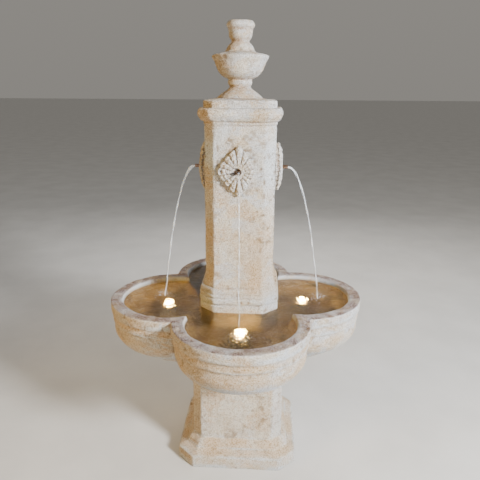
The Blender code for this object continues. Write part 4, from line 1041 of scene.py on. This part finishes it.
# ---------------------------------------------------------------- camera, floor and lights
def camera():
    """A standing person's view, a little from the left."""
    data = bpy.data.cameras.new("camera")
    data.sensor_width = 36.0
    data.lens = CAMERA_LENS
    data.shift_x = CAMERA_SHIFT
    holder = bpy.data.objects.new("camera", data)
    bpy.context.scene.collection.objects.link(holder)
    azimuth, pitch, roll = (math.radians(angle) for angle in CAMERA_ANGLES)
    ahead = math.cos(pitch)
    forward = Vector((-math.sin(azimuth) * ahead, math.cos(azimuth) * ahead, -math.sin(pitch)))
    turn = forward.to_track_quat("-Z", "Y").to_matrix().to_4x4()
    holder.matrix_world = Matrix.Translation(CAMERA_PLACE) @ turn @ Matrix.Rotation(roll, 4, "Z")
    bpy.context.scene.camera = holder


def floor():
    """A plain pale floor."""
    n = Nodes("scene_floor")
    colour = n.mix(n.step(n.noise(3.0, 4.0), 0.3, 0.7), (0.52, 0.52, 0.515), (0.57, 0.57, 0.565))
    material = n.finish(colour, 0.85, n.bump(n.noise(180.0, 3.0), 0.0005, 0.3))
    reach = FLOOR_REACH
    points = np.array([(-reach, -reach, 0.0), (reach, -reach, 0.0), (reach, reach, 0.0), (-reach, reach, 0.0)])
    piece = new_piece("floor", points, [(0, 1, 2, 3)], material)


def area_light(name, place, target, size, power, colour, spread=180.0):
    """A soft square light that points at a place."""
    data = bpy.data.lights.new(name, "AREA")
    data.size = size
    data.energy = power
    data.color = colour
    data.spread = math.radians(spread)
    holder = bpy.data.objects.new(name, data)
    holder.visible_glossy = False
    bpy.context.scene.collection.objects.link(holder)
    direction = Vector(target) - Vector(place)
    holder.matrix_world = Matrix.Translation(place) @ direction.to_track_quat("-Z", "Y").to_matrix().to_4x4()


def lights():
    """Soft light from the front right, a warm fill, a light behind, and the lit lamps' own light."""
    world = bpy.data.worlds.new("studio")
    bpy.context.scene.world = world
    world.use_nodes = True
    background = world.node_tree.nodes["Background"]
    place = world.node_tree.nodes.new("ShaderNodeTexCoord").outputs["Generated"]
    split = world.node_tree.nodes.new("ShaderNodeSeparateXYZ")
    ramp = world.node_tree.nodes.new("ShaderNodeMapRange")
    world.node_tree.links.new(place, split.inputs["Vector"])
    world.node_tree.links.new(split.outputs["Z"], ramp.inputs["Value"])
    for key, number in zip(("From Min", "From Max", "To Min", "To Max"), (0.0, 0.8, 0.26, 0.33)):
        ramp.inputs[key].default_value = number
    world.node_tree.links.new(ramp.outputs["Result"], background.inputs["Strength"])
    background.inputs["Color"].default_value = (1.0, 0.95, 0.87, 1.0)
    area_light("key", (2.3, -2.6, 2.1), (0.0, 0.0, 0.85), 0.62, 430.0, (1.0, 0.985, 0.955))
    area_light("fill", (-2.6, -1.3, 1.3), (0.0, 0.0, 0.7), 1.4, 15.0, (1.0, 0.60, 0.10), 80.0)
    area_light("back", (0.4, 2.8, 2.6), (0.0, 0.0, 0.9), 1.6, 70.0, (1.0, 0.95, 0.90))
    for side, (reach, offset) in LAMP_PLACES.items():
        if side == "rear":
            continue
        around = Matrix.Rotation(math.radians(SIDES[side]), 4, "Z")
        data = bpy.data.lights.new("lamp_" + side, "POINT")
        data.energy = LAMP_LIGHT_POWER
        data.color = (1.0, 0.66, 0.19)
        data.shadow_soft_size = 0.012
        holder = bpy.data.objects.new("lamp_" + side, data)
        holder.location = around @ Vector((reach, offset, LAMP_LIGHT_HEIGHT))
        bpy.context.scene.collection.objects.link(holder)


camera()
floor()
finish_cad()
pedestal()
basin()
column()
finial()
landing_points = []
for index, name in enumerate(SIDES):
    rosette(name, index)
    landing_points.append(stream(name, index)[:2])
drops(landing_points)
pool(landing_points)
lights()
